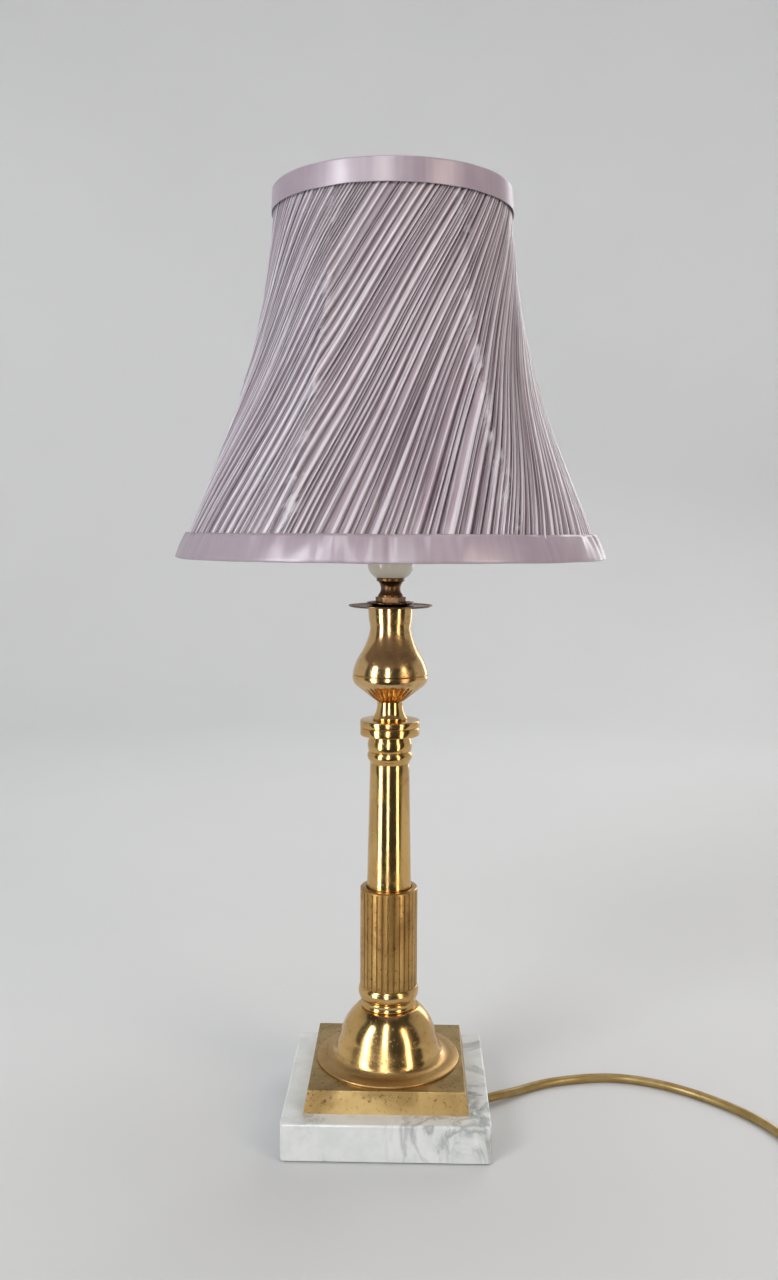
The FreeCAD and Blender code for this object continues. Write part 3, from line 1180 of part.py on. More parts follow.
def rounded_plate(width, low, high, corner, distance):
    """A rounded rectangle square to X, its foot at low and its top at high."""
    half = width / 2
    run = [Vector(distance, -half, low + corner), Vector(distance, -half, high - corner),
           Vector(distance, -half + corner, high), Vector(distance, half - corner, high),
           Vector(distance, half, high - corner), Vector(distance, half, low + corner),
           Vector(distance, half - corner, low), Vector(distance, -half + corner, low)]
    inset = corner * (1 - math.sqrt(0.5))
    middles = [Vector(distance, -half + inset, high - inset), Vector(distance, half - inset, high - inset),
               Vector(distance, half - inset, low + inset), Vector(distance, -half + inset, low + inset)]
    edges = []
    for index in range(4):
        edges.append(Part.LineSegment(run[2 * index], run[2 * index + 1]).toShape())
        edges.append(Part.Arc(run[2 * index + 1], middles[index], run[(2 * index + 2) % 8]).toShape())
    return Part.Wire(edges)


def build_plug(coil_wire):
    """A moulded three-pin plug that lies on the table at the coil's outer end."""
    end = coil_wire.Edges[-1].valueAt(coil_wire.Edges[-1].LastParameter)
    radius = size(CORD_RADIUS)
    relief = size("plug_relief")
    length = size("plug_length")
    width = size("plug_width")
    low = 0.05 - end.z
    high = low + size("plug_height")
    taper = Part.makeCone(radius + 0.5, radius + 2.2, relief, Vector(), Vector(1, 0, 0))
    shoulder = rounded_plate(width * 0.5, low + 2, high - 4, 4.5, relief)
    waist = rounded_plate(width * 0.8, low, high - 1.5, 5.0, relief + length * 0.45)
    rim = rounded_plate(width, low, high, 5.5, relief + length * 0.8)
    face = rounded_plate(width, low, high, 5.5, relief + length)
    body = Part.makeLoft([shoulder, waist, rim, face], True, True).fuse(taper).removeSplitter()
    place = Placement(end, Rotation())
    middle = Vector(relief + length, 0, (low + high) / 2)
    blades = []
    for turn in (90, 210, 330):
        blade = Part.makeBox(size("blade_length"), size("blade_thick"), size("blade_width"),
                             Vector(0, -size("blade_thick") / 2, -size("blade_width") / 2))
        blade.rotate(Vector(), Vector(1, 0, 0), 0 if turn == 90 else (-30 if turn == 210 else 30))
        spoke = math.radians(turn)
        reach = size("blade_circle")
        blade.translate(middle + Vector(0, reach * math.cos(spoke), -reach * math.sin(spoke)))
        blades.append(blade)
    return [made("plug_body", body, place), made("plug_pins", Part.makeCompound(blades), place)]


# ---------------------------------------------------------------- build, test and write
SECTIONS = [build_foot, build_stem_parts, build_plinth, build_dome, build_column, build_collar, build_urn,
            build_neck, build_holder, build_springs, build_bulb, build_shade, build_inner_flex, build_free_flex]

nodes = []
for section in SECTIONS:
    nodes += section()
doc.recompute()

faults = []
for item in doc.Objects:
    if {"Invalid", "Error"} & set(item.State):
        faults.append(f"{item.Name}: {item.State}")
for node in nodes:
    if node.Shape.isNull() or not node.Shape.isValid() or node.Shape.Volume <= 0:
        faults.append(f"{node.Label}: bad shape")
if faults:
    raise RuntimeError("; ".join(faults))

os.makedirs("parts", exist_ok=True)
for node in nodes:
    node.Shape.exportStep(os.path.join("parts", f"{node.Label}.step"))
print("nodes:", len(nodes))
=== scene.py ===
"""Candlestick table lamp: the looks of a brass lamp on a marble block, under a pleated satin shade."""

import json
import logging
import math
import random
from collections.abc import Callable, Iterator, Sequence
from contextlib import contextmanager
from dataclasses import dataclass, field
from enum import Enum

import bmesh
import bpy
import numpy as np
from mathutils import Matrix, Vector

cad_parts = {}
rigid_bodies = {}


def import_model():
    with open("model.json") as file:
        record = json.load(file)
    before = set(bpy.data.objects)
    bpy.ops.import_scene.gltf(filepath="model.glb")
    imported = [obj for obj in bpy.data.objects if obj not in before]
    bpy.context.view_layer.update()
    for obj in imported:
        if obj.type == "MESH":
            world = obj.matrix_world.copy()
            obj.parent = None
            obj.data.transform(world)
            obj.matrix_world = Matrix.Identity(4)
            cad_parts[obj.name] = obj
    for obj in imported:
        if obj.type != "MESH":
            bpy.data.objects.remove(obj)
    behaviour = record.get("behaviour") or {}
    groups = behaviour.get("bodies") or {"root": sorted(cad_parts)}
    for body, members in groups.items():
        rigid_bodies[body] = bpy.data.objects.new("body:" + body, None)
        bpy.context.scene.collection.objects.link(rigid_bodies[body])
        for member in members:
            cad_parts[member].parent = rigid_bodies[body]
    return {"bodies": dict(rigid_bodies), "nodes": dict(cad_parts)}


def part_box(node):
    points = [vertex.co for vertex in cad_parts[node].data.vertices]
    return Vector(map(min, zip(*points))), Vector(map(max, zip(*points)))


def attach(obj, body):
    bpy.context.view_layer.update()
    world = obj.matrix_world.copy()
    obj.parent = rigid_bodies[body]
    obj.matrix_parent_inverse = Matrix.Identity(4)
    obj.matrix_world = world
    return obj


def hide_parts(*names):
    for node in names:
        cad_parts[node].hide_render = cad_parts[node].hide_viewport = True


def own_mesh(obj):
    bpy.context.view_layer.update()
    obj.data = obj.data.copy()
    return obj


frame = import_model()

MM = 0.001
LOG = logging.getLogger("candlestick_lamp")
# The radius of the bore through the turned pieces, in millimetres.
BORE = 5.2


class Body(Enum):
    """The bodies that new pieces move with, by their names in the frame."""

    STAND = "stand"
    SHADE = "shade"


# ---------------------------------------------------------------- shader maths
class Signal:
    """A shader value that adds its Math nodes when it is used in an expression."""

    def __init__(self, tree: bpy.types.NodeTree, socket: bpy.types.NodeSocket) -> None:
        """Wrap one output socket of a node tree."""
        self.tree = tree
        self.socket = socket

    def math(self, operation: str, *others: "Signal | float", clamp: bool = False) -> "Signal":
        """Add a Math node.

        Args:
            operation: the Math node's operation.
            others: the further inputs, as signals or numbers.
            clamp: whether the result is kept between 0 and 1.

        Returns:
            The node's result.
        """
        node = self.tree.nodes.new("ShaderNodeMath")
        node.operation = operation
        node.use_clamp = clamp
        for place, value in enumerate((self, *others)):
            if isinstance(value, Signal):
                self.tree.links.new(value.socket, node.inputs[place])
            else:
                node.inputs[place].default_value = value
        return Signal(self.tree, node.outputs[0])

    def constant(self, value: "Signal | float") -> "Signal":
        """A number as a signal, so that it can stand first in a Math node."""
        if isinstance(value, Signal):
            return value
        node = self.tree.nodes.new("ShaderNodeValue")
        node.outputs[0].default_value = value
        return Signal(self.tree, node.outputs[0])

    def __add__(self, other: "Signal | float") -> "Signal":
        """The sum."""
        return self.math("ADD", other)

    __radd__ = __add__

    def __mul__(self, other: "Signal | float") -> "Signal":
        """The product."""
        return self.math("MULTIPLY", other)

    __rmul__ = __mul__

    def __sub__(self, other: "Signal | float") -> "Signal":
        """This value less another."""
        return self.math("SUBTRACT", other)

    def __rsub__(self, other: "Signal | float") -> "Signal":
        """Another value less this one."""
        return self.constant(other).math("SUBTRACT", self)

    def __pow__(self, other: "Signal | float") -> "Signal":
        """This value to a power."""
        return self.math("POWER", other)

    def clamped(self) -> "Signal":
        """The value kept between 0 and 1."""
        return self.math("ADD", 0.0, clamp=True)

    def step(self, low: float, high: float) -> "Signal":
        """A smooth step of the value.

        Args:
            low: the value where the step starts.
            high: the value where the step ends.

        Returns:
            0 below low, 1 above high, and a smooth rise between.
        """
        node = self.tree.nodes.new("ShaderNodeMapRange")
        node.interpolation_type = "SMOOTHSTEP"
        self.tree.links.new(self.socket, node.inputs["Value"])
        node.inputs["From Min"].default_value = low
        node.inputs["From Max"].default_value = high
        return Signal(self.tree, node.outputs["Result"])


Colour = tuple[float, float, float]
Input = "Signal | bpy.types.NodeSocket | float | Sequence[float]"


class Paint:
    """One material and the nodes that make it."""

    def __init__(self, name: str) -> None:
        """Start an empty material of this name."""
        self.material = bpy.data.materials.new(name)
        self.material.use_nodes = True
        self.tree = self.material.node_tree
        self.tree.nodes.clear()

    def node(self, kind: str, settings: dict | None = None, sockets: dict | None = None) -> bpy.types.Node:
        """Add any node.

        Args:
            kind: the node's type.
            settings: its properties, set first.
            sockets: values or links by socket name or number.

        Returns:
            The new node.
        """
        node = self.tree.nodes.new(kind)
        for key, value in (settings or {}).items():
            setattr(node, key, value)
        for key, value in (sockets or {}).items():
            socket = node.inputs[key]
            if isinstance(value, Signal):
                self.tree.links.new(value.socket, socket)
            elif isinstance(value, bpy.types.NodeSocket):
                self.tree.links.new(value, socket)
            elif isinstance(value, (tuple, list)) and len(value) == 3 and len(socket.default_value) == 4:
                socket.default_value = (*value, 1.0)
            else:
                socket.default_value = value
        return node

    def place(self, scale: Sequence[float] = (1, 1, 1), turn: Sequence[float] = (0, 0, 0),
              uv: bool = False) -> bpy.types.NodeSocket:
        """Coordinates for a pattern.

        Args:
            scale: how much each axis is stretched.
            turn: a turn about each axis, in radians.
            uv: True for the piece's own map, False for its place in metres.

        Returns:
            The coordinates' socket.
        """
        source = self.node("ShaderNodeTexCoord").outputs["UV" if uv else "Object"]
        mapping = self.node("ShaderNodeMapping", sockets={"Vector": source, "Scale": scale, "Rotation": turn})
        return mapping.outputs["Vector"]

    def noise(self, scale: float, detail: float = 3.0, roughness: float = 0.5, distortion: float = 0.0,
              at: bpy.types.NodeSocket | None = None) -> Signal:
        """A noise pattern, from 0 to 1.

        Args:
            scale: how many lumps there are in a metre.
            detail: how many finer layers it has.
            roughness: how strong the finer layers are.
            distortion: how much it is stirred.
            at: the coordinates, or None for the place on the piece.

        Returns:
            The pattern.
        """
        node = self.node("ShaderNodeTexNoise", sockets={
            "Vector": self.place() if at is None else at, "Scale": scale, "Detail": detail,
            "Roughness": roughness, "Distortion": distortion})
        return Signal(self.tree, node.outputs["Fac"])

    def thread(self, width: float, length: float, detail: float, roughness: float = 0.5) -> Signal:
        """A noise pattern that is drawn out along a piece's map.

        Args:
            width: how many lumps there are in a metre across the map.
            length: how many lumps there are in a metre along it.
            detail: how many finer layers it has.
            roughness: how strong the finer layers are.

        Returns:
            The pattern.
        """
        return self.noise(1.0, detail, roughness, 0.0, self.place(scale=(width, length, 1.0), uv=True))

    def from_axis(self) -> Signal:
        """The distance from the lamp's axis, in metres."""
        flat = self.node("ShaderNodeVectorMath", {"operation": "MULTIPLY"}, {0: self.place(), 1: (1, 1, 0)})
        length = self.node("ShaderNodeVectorMath", {"operation": "LENGTH"}, {0: flat.outputs[0]})
        return Signal(self.tree, length.outputs["Value"])

    def attribute(self, name: str) -> Signal:
        """A value that is stored on the mesh under this name."""
        node = self.node("ShaderNodeAttribute", {"attribute_name": name})
        return Signal(self.tree, node.outputs["Fac"])

    def blend(self, share: Signal | float, first: Input, second: Input) -> bpy.types.NodeSocket:
        """Mix two colours.

        Args:
            share: how much of the second shows, from 0 to 1.
            first: the colour at 0.
            second: the colour at 1.

        Returns:
            The mixed colour's socket.
        """
        node = self.node("ShaderNodeMix", {"data_type": "RGBA"}, {0: share, 6: first, 7: second})
        return node.outputs[2]

    def bump(self, height: Signal, depth: float, strength: float = 1.0,
             over: bpy.types.NodeSocket | None = None) -> bpy.types.NodeSocket:
        """Relief from a pattern.

        Args:
            height: the pattern, from 0 to 1.
            depth: its depth in metres.
            strength: how much of it shows.
            over: a relief that it is laid on.

        Returns:
            The normal's socket.
        """
        sockets = {"Height": height, "Distance": depth, "Strength": strength}
        if over is not None:
            sockets["Normal"] = over
        return self.node("ShaderNodeBump", sockets=sockets).outputs["Normal"]

    def finish(self, **sockets: Input) -> bpy.types.Material:
        """Close the material with a Principled surface.

        Args:
            sockets: the surface's inputs, with _ for a space.

        Returns:
            The finished material.
        """
        named = {key.replace("_", " "): value for key, value in sockets.items()}
        surface = self.node("ShaderNodeBsdfPrincipled", sockets=named)
        output = self.node("ShaderNodeOutputMaterial")
        self.tree.links.new(surface.outputs[0], output.inputs["Surface"])
        return self.material


# ---------------------------------------------------------------- finishes
@dataclass(frozen=True)
class BrassFinish:
    """Lacquered brass with brown tarnish and fine handling marks."""

    name: str
    colour: Colour = (0.70, 0.455, 0.175)
    tarnish: Colour = (0.30, 0.165, 0.065)
    roughness: float = 0.13
    tarnish_share: float = 0.45
    speckle: float = 0.35
    grain: float = 0.00002
    satin_from: float = 0.0
    rim_width: float = 0.004
    reddened: Colour = (0.80, 0.70, 0.52)

    def material(self) -> bpy.types.Material:
        """Build the material."""
        paint = Paint(self.name)
        cloud = paint.noise(38, 5, 0.62, 0.6).step(0.42, 0.72)
        spots = paint.noise(420, 4, 0.65).step(0.56, 0.70)
        fine = paint.noise(1700, 2, 0.5)
        wear = (cloud * self.tarnish_share + spots * self.speckle).clamped()
        worn = paint.blend(wear, self.colour, self.tarnish)
        tint = paint.noise(14, 2, 0.5).step(0.35, 0.7)
        deep = tuple(value * share for value, share in zip(self.colour, self.reddened))
        colour = paint.blend(tint * 0.35, worn, deep)
        rough = wear * 0.30 + fine * 0.05 + self.roughness
        if self.satin_from:
            rim = paint.from_axis().step(self.satin_from, self.satin_from + self.rim_width)
            rough = rough + rim * 0.22
            colour = paint.blend(rim * 0.45, colour, self.tarnish)
        relief = paint.bump(paint.noise(90, 3, 0.5), 0.00006, 0.35)
        relief = paint.bump(fine, self.grain, 0.6, relief)
        return paint.finish(Base_Color=colour, Metallic=1.0, Roughness=rough, Normal=relief)


@dataclass(frozen=True)
class PlainFinish:
    """A moulded, painted or plated surface with slight unevenness."""

    name: str
    colour: Colour
    second: Colour
    roughness: float
    metallic: float = 0.0
    lumps: float = 60.0
    relief: float = 0.00003
    coat: float = 0.0

    def material(self) -> bpy.types.Material:
        """Build the material."""
        paint = Paint(self.name)
        cloud = paint.noise(self.lumps, 4, 0.6)
        fine = paint.noise(self.lumps * 22, 2, 0.5)
        colour = paint.blend(cloud.step(0.35, 0.75), self.colour, self.second)
        rough = fine * 0.10 + cloud * 0.08 + (self.roughness - 0.08)
        return paint.finish(Base_Color=colour, Metallic=self.metallic, Roughness=rough,
                            Coat_Weight=self.coat, Normal=paint.bump(fine, self.relief, 0.5))


@dataclass(frozen=True)
class MarbleFinish:
    """White marble with soft grey slanting veins and a trace of ochre."""

    name: str = "white_marble_stone"
    ground: Colour = (0.76, 0.79, 0.78)
    milk: Colour = (0.86, 0.88, 0.87)
    vein: Colour = (0.20, 0.22, 0.22)
    ochre: Colour = (0.55, 0.45, 0.30)

    def material(self) -> bpy.types.Material:
        """Build the material."""
        paint = Paint(self.name)
        at = paint.place(scale=(1.0, 1.0, 0.42), turn=(0.30, 0.78, 0.25))
        stir = paint.noise(20, 4, 0.6, 0.5, at)
        ridge = paint.noise(34, 6, 0.62, 0.7, at)
        thin = 1.0 - ((ridge - 0.5).math("ABSOLUTE") * 12.0).clamped()
        wide = 1.0 - ((stir - 0.56).math("ABSOLUTE") * 8.0).clamped()
        patch = paint.noise(17, 2, 0.5).step(0.44, 0.62)
        veins = (thin ** 2.2 * 0.7 * patch + wide ** 2.2 * 0.30 * (patch * 0.7 + 0.3)).clamped()
        base = paint.blend(paint.noise(45, 4, 0.6).step(0.35, 0.68), self.ground, self.milk)
        colour = paint.blend(veins, base, self.vein)
        stain = paint.noise(31, 3, 0.5, 0.5).step(0.70, 0.80) * 0.35
        colour = paint.blend(stain, colour, self.ochre)
        relief = paint.bump(paint.noise(900, 3, 0.6), 0.00002, 0.5)
        return paint.finish(Base_Color=colour, Roughness=0.24 + veins * 0.08, Normal=relief,
                            Subsurface_Weight=0.12, Subsurface_Radius=(0.004, 0.004, 0.005),
                            Subsurface_Scale=1.0, Coat_Weight=0.15)


@dataclass(frozen=True)
class SatinFinish:
    """Dusty lilac satin with fine threads along the piece's map; folded cloth gets painted shade in its valleys and
    painted highlights on its crests.
    """

    name: str
    colour: Colour = (0.405, 0.300, 0.365)
    # fold_shading is the colour of painted shade in the folds; shine is the colour of painted highlights.
    fold_shading: Colour = (0.040, 0.014, 0.026)
    gleam: Colour = (0.53, 0.45, 0.51)
    shine: Colour = (0.85, 0.81, 0.87)
    roughness: float = 0.20
    gloss: float = 0.9
    threads: float = 750.0
    folded: bool = True

    def material(self) -> bpy.types.Material:
        """Build the material."""
        paint = Paint(self.name)
        thread = paint.thread(self.threads, 12.0, 2)
        weft = paint.thread(160.0, 900.0, 1)
        cloud = paint.noise(26, 3, 0.5)
        colour = paint.blend(cloud.step(0.3, 0.75) * 0.5, self.colour, self.gleam)
        relief = None
        if self.folded:
            colour, relief = self.pleats(paint, colour)
        colour = paint.blend(thread.step(0.3, 0.7) * 0.22, colour, self.gleam)
        relief = paint.bump(thread, 0.00022 if self.folded else 0.00005, 0.7, relief)
        relief = paint.bump(weft, 0.00002, 0.4, relief)
        return paint.finish(Base_Color=colour, Roughness=thread * 0.12 + self.roughness, Normal=relief,
                            Specular_IOR_Level=self.gloss)

    def pleats(self, paint: Paint, colour: bpy.types.NodeSocket) -> tuple[bpy.types.NodeSocket, ...]:
        """Painted shade in the valleys, painted highlights on the crests and painted glints on the wrinkles over the
        struts.

        Args:
            paint: the material so far.
            colour: the cloth's colour.

        Returns:
            The new colour and the relief.
        """
        depth, strut = paint.attribute("fold_shading"), paint.attribute("strut")
        crease = paint.thread(480.0, 5.0, 4, 0.7)
        # Fine creases: darker lines of painted shade and paler lines of painted highlight.
        colour = paint.blend((1.0 - crease.step(0.38, 0.46)) * 0.8, colour, self.fold_shading)
        colour = paint.blend(crease.step(0.55, 0.61) * 0.85, colour, self.shine)
        # Painted highlight along the folded crest of each pleat.
        colour = paint.blend(depth.step(0.68, 0.80) * 0.9, colour, self.shine)
        # Broad darker panels across the pleats: painted shade.
        panel = paint.thread(110.0, 3.0, 2)
        colour = paint.blend((1.0 - panel.step(0.36, 0.46)) * 0.36, colour, self.fold_shading)
        # Painted shade deep in the valleys between the pleats.
        colour = paint.blend(depth.step(0.18, 0.66), self.fold_shading, colour)
        # Painted glints where the cloth wrinkles over the struts.
        wrinkle = paint.thread(130.0, 42.0, 3, 0.6)
        colour = paint.blend(wrinkle.step(0.52, 0.62) * strut * 0.75, colour, self.shine)
        relief = paint.bump(crease, 0.0018, 1.0)
        return colour, paint.bump(wrinkle * strut, 0.004, 1.0, relief)


@dataclass(frozen=True)
class GlassFinish:
    """Thin clear glass."""

    name: str = "bulb_clear_glass"
    roughness: float = 0.02

    def material(self) -> bpy.types.Material:
        """Build the material."""
        paint = Paint(self.name)
        ripple = paint.noise(60, 2, 0.5)
        return paint.finish(Base_Color=(0.96, 0.97, 0.98), Roughness=self.roughness, IOR=1.45,
                            Transmission_Weight=1.0, Normal=paint.bump(ripple, 0.0001, 0.2))


@dataclass(frozen=True)
class FlexFinish:
    """Gold-bronze round flex with faint lengthwise streaks."""

    name: str = "gold_flex_sheath"
    colour: Colour = (0.30, 0.195, 0.055)
    worn: Colour = (0.40, 0.285, 0.11)

    def material(self) -> bpy.types.Material:
        """Build the material."""
        paint = Paint(self.name)
        cloud = paint.noise(70, 3, 0.5)
        fine = paint.noise(900, 2, 0.5)
        colour = paint.blend(cloud.step(0.35, 0.7), self.colour, self.worn)
        return paint.finish(Base_Color=colour, Metallic=0.45, Roughness=fine * 0.12 + 0.30,
                            Normal=paint.bump(fine, 0.00004, 0.5), Coat_Weight=0.2)


class Palette:
    """Every material of the lamp, made once."""

    def __init__(self) -> None:
        """Build the materials."""
        self.polished = BrassFinish("polished_brass").material()
        self.dome = BrassFinish("dome_brass", tarnish_share=0.4, speckle=0.55, satin_from=0.0345).material()
        self.urn = BrassFinish("urn_brass", colour=(0.70, 0.47, 0.21), tarnish=(0.26, 0.15, 0.065),
                               tarnish_share=0.6, speckle=0.55).material()
        self.sleeve = BrassFinish("sleeve_brass", colour=(0.56, 0.35, 0.125), tarnish=(0.17, 0.09, 0.035),
                                  roughness=0.27, tarnish_share=0.6, speckle=0.7).material()
        self.plate = BrassFinish("plinth_brass", colour=(0.47, 0.335, 0.145), tarnish=(0.17, 0.10, 0.04),
                                 roughness=0.34, tarnish_share=0.5, speckle=0.75).material()
        self.bronze = BrassFinish("dark_bronze", colour=(0.22, 0.125, 0.06), tarnish=(0.045, 0.022, 0.014),
                                  roughness=0.24, tarnish_share=0.7, speckle=0.3).material()
        self.marble = MarbleFinish().material()
        self.cover = SatinFinish("pleated_satin").material()
        self.band = SatinFinish("band_satin", colour=(0.36, 0.275, 0.335), roughness=0.27, threads=300.0,
                                folded=False).material()
        self.lining = SatinFinish("lining_cloth", gloss=0.3, colour=(0.45, 0.39, 0.42), gleam=(0.55, 0.50, 0.52),
                                  roughness=0.5, folded=False).material()
        self.cream = PlainFinish("cream_plastic", (0.80, 0.74, 0.60), (0.74, 0.67, 0.52), 0.30,
                                 coat=0.3).material()
        self.black = PlainFinish("black_plastic", (0.018, 0.018, 0.02), (0.03, 0.03, 0.03), 0.42).material()
        self.rubber = PlainFinish("dark_rubber", (0.035, 0.033, 0.03), (0.06, 0.055, 0.05), 0.6).material()
        self.felt = PlainFinish("dark_felt", (0.022, 0.020, 0.022), (0.05, 0.045, 0.045), 0.92,
                                lumps=400, relief=0.0002).material()
        self.steel = PlainFinish("zinc_steel", (0.58, 0.58, 0.59), (0.45, 0.45, 0.47), 0.32,
                                 metallic=1.0).material()
        self.contact = PlainFinish("contact_brass", (0.75, 0.56, 0.27), (0.62, 0.42, 0.18), 0.26,
                                   metallic=1.0).material()
        self.aluminium = PlainFinish("bulb_aluminium", (0.74, 0.74, 0.75), (0.62, 0.62, 0.64), 0.28,
                                     metallic=1.0).material()
        self.wire = PlainFinish("white_wire_paint", (0.72, 0.70, 0.67), (0.60, 0.57, 0.53), 0.35).material()
        self.tungsten = PlainFinish("tungsten_wire", (0.25, 0.25, 0.26), (0.18, 0.18, 0.19), 0.5,
                                    metallic=1.0).material()
        self.brown_core = PlainFinish("brown_core", (0.17, 0.07, 0.03), (0.22, 0.10, 0.05), 0.4).material()
        self.green_core = PlainFinish("green_core", (0.10, 0.30, 0.04), (0.45, 0.42, 0.05), 0.4).material()
        self.glass = GlassFinish().material()
        self.flex = FlexFinish().material()


# ---------------------------------------------------------------- modelling
class Outline:
    """The outline of a turned piece, as points of (radius, height) in millimetres above its seat."""

    def __init__(self, radius: float, height: float = 0.0) -> None:
        """Start at a radius and a height."""
        self.points = [(radius, height)]

    def to(self, radius: float, height: float) -> "Outline":
        """Go straight to a point."""
        self.points.append((radius, height))
        return self

    def line(self, radius: float, height: float, steps: int) -> "Outline":
        """Go straight to a point in short steps, between which flutes can fade."""
        r0, z0 = self.points[-1]
        for step in range(1, steps + 1):
            self.to(r0 + (radius - r0) * step / steps, z0 + (height - z0) * step / steps)
        return self

    def swell(self, radius: float, height: float, rise: float, steps: int = 8) -> "Outline":
        """Go to a point along an arc.

        Args:
            radius: the end's radius.
            height: the end's height.
            rise: how far the arc stands out from its chord; negative for a hollow.
            steps: how many short lines make the arc.

        Returns:
            The outline, for the next stretch.
        """
        r0, z0 = self.points[-1]
        dr, dz = radius - r0, height - z0
        chord = math.hypot(dr, dz)
        normal = (dz / chord, -dr / chord)
        if normal[0] < 0 or (normal[0] == 0 and normal[1] < 0):
            normal = (-normal[0], -normal[1])
        bend = abs(rise)
        arc_radius = (chord * chord / 4 + bend * bend) / (2 * bend)
        half = math.asin(min(1.0, chord / 2 / arc_radius))
        for index in range(1, steps + 1):
            turn = half * (2 * index / steps - 1)
            along = 0.5 + math.sin(turn) * arc_radius / chord
            stand = (math.cos(turn) - math.cos(half)) * arc_radius * math.copysign(1, rise)
            self.points.append((r0 + dr * along + normal[0] * stand, z0 + dz * along + normal[1] * stand))
        return self

    def sweep(self, centre: tuple[float, float], radius: float, start: float, end: float,
              steps: int = 12) -> "Outline":
        """Add an arc about a centre, from one angle to another, in degrees."""
        for index in range(steps + 1):
            angle = math.radians(start + (end - start) * index / steps)
            self.points.append((centre[0] + radius * math.cos(angle), centre[1] + radius * math.sin(angle)))
        return self

    def metres(self, foot: float) -> list[tuple[float, float]]:
        """The points in metres, with the seat at a height."""
        kept = []
        for radius, height in self.points:
            point = (radius * MM, foot + height * MM)
            if not kept or math.dist(point, kept[-1]) > 1e-6:
                kept.append(point)
        return kept


def focus(piece: bpy.types.Object) -> None:
    """Select one piece alone and make it the active one."""
    bpy.ops.object.select_all(action="DESELECT")
    piece.select_set(True)
    bpy.context.view_layer.objects.active = piece


@contextmanager
def editing(piece: bpy.types.Object) -> Iterator[None]:
    """Work on one piece in edit mode, with nothing else selected."""
    focus(piece)
    bpy.ops.object.mode_set(mode="EDIT")
    bpy.ops.mesh.select_mode(type="VERT")
    yield
    bpy.ops.object.mode_set(mode="OBJECT")


def smooth(piece: bpy.types.Object, angle: float) -> None:
    """Shade a piece smooth, apart from edges sharper than an angle in degrees."""
    focus(piece)
    bpy.ops.object.shade_smooth_by_angle(angle=math.radians(angle))


def settle(piece: bpy.types.Object) -> None:
    """Put a piece's place, turn and size into its mesh, so that its object sits at the origin."""
    focus(piece)
    bpy.ops.object.transform_apply(location=True, rotation=True, scale=True)


def turn(name: str, outline: Sequence[tuple[float, float]], steps: int = 144,
         around: float = math.tau) -> bpy.types.Object:
    """Turn a closed outline about the lamp's axis.

    Args:
        name: the piece's name.
        outline: points of (radius, height) in metres, in order round the section.
        steps: how many faces go round.
        around: how far round it goes.

    Returns:
        The turned piece.
    """
    bpy.ops.object.select_all(action="DESELECT")
    bpy.ops.mesh.primitive_plane_add(size=MM)
    piece = bpy.context.active_object
    piece.name = piece.data.name = name
    with editing(piece):
        bpy.ops.mesh.select_all(action="SELECT")
        bpy.ops.mesh.merge(type="CENTER")
        bpy.ops.transform.translate(value=(outline[0][0], 0, outline[0][1]))
        for here, there in zip(outline, (*outline[1:], outline[0])):
            step = (there[0] - here[0], 0, there[1] - here[1])
            bpy.ops.mesh.extrude_vertices_move(TRANSFORM_OT_translate={"value": step})
        bpy.ops.mesh.select_all(action="SELECT")
        bpy.ops.mesh.remove_doubles(threshold=1e-6)
        bpy.ops.mesh.select_all(action="SELECT")
        bpy.ops.mesh.spin(steps=steps, angle=around, center=(0, 0, 0), axis=(0, 0, 1))
        bpy.ops.mesh.select_all(action="SELECT")
        bpy.ops.mesh.remove_doubles(threshold=2e-6)
        bpy.ops.mesh.select_all(action="SELECT")
        bpy.ops.mesh.normals_make_consistent(inside=False)
    return piece


def soften(piece: bpy.types.Object, width: float) -> None:
    """Round a piece's sharp edges by a width in metres, so that they catch the light."""
    focus(piece)
    bevel = piece.modifiers.new("Bevel", "BEVEL")
    bevel.width, bevel.segments = width, 2
    bevel.limit_method, bevel.angle_limit = "ANGLE", math.radians(32)
    bevel.use_clamp_overlap = True
    bpy.ops.object.modifier_apply(modifier=bevel.name)
    smooth(piece, 40)


def scallop(piece: bpy.types.Object, count: int, low: float, high: float, depth: float,
            shape: Callable[[float, float], float]) -> None:
    """Draw in the surface of a turned piece in flutes that repeat round it.

    Args:
        piece: the turned piece.
        count: how many flutes go round.
        low: the lowest height that they reach.
        high: the highest height that they reach.
        depth: how far the deepest point is drawn in, in metres.
        shape: from the place across a flute (-1 to 1) and the place up it (0 to 1) to a share of depth.
    """
    levels, ring_width, pitch = 24, 0.4 * MM, math.tau / count
    with editing(piece):
        mesh = bmesh.from_edit_mesh(piece.data)
        rows: dict[tuple[int, int], list[bmesh.types.BMVert]] = {}
        for vertex in mesh.verts:
            x, y, z = vertex.co
            if low - 1e-6 <= z <= high + 1e-6:
                across = ((math.atan2(y, x) / pitch + 0.5) % 1.0 - 0.5) * 2
                share = round(shape(across, (z - low) / (high - low)) * levels)
                if share:
                    rows.setdefault((share, round(math.hypot(x, y) / ring_width)), []).append(vertex)
        for (share, ring), vertices in rows.items():
            bpy.ops.mesh.select_all(action="DESELECT")
            for vertex in vertices:
                vertex.select = True
            factor = 1 - share / levels * depth / (ring * ring_width)
            bpy.ops.transform.resize(value=(factor, factor, 1), center_override=(0, 0, 0))


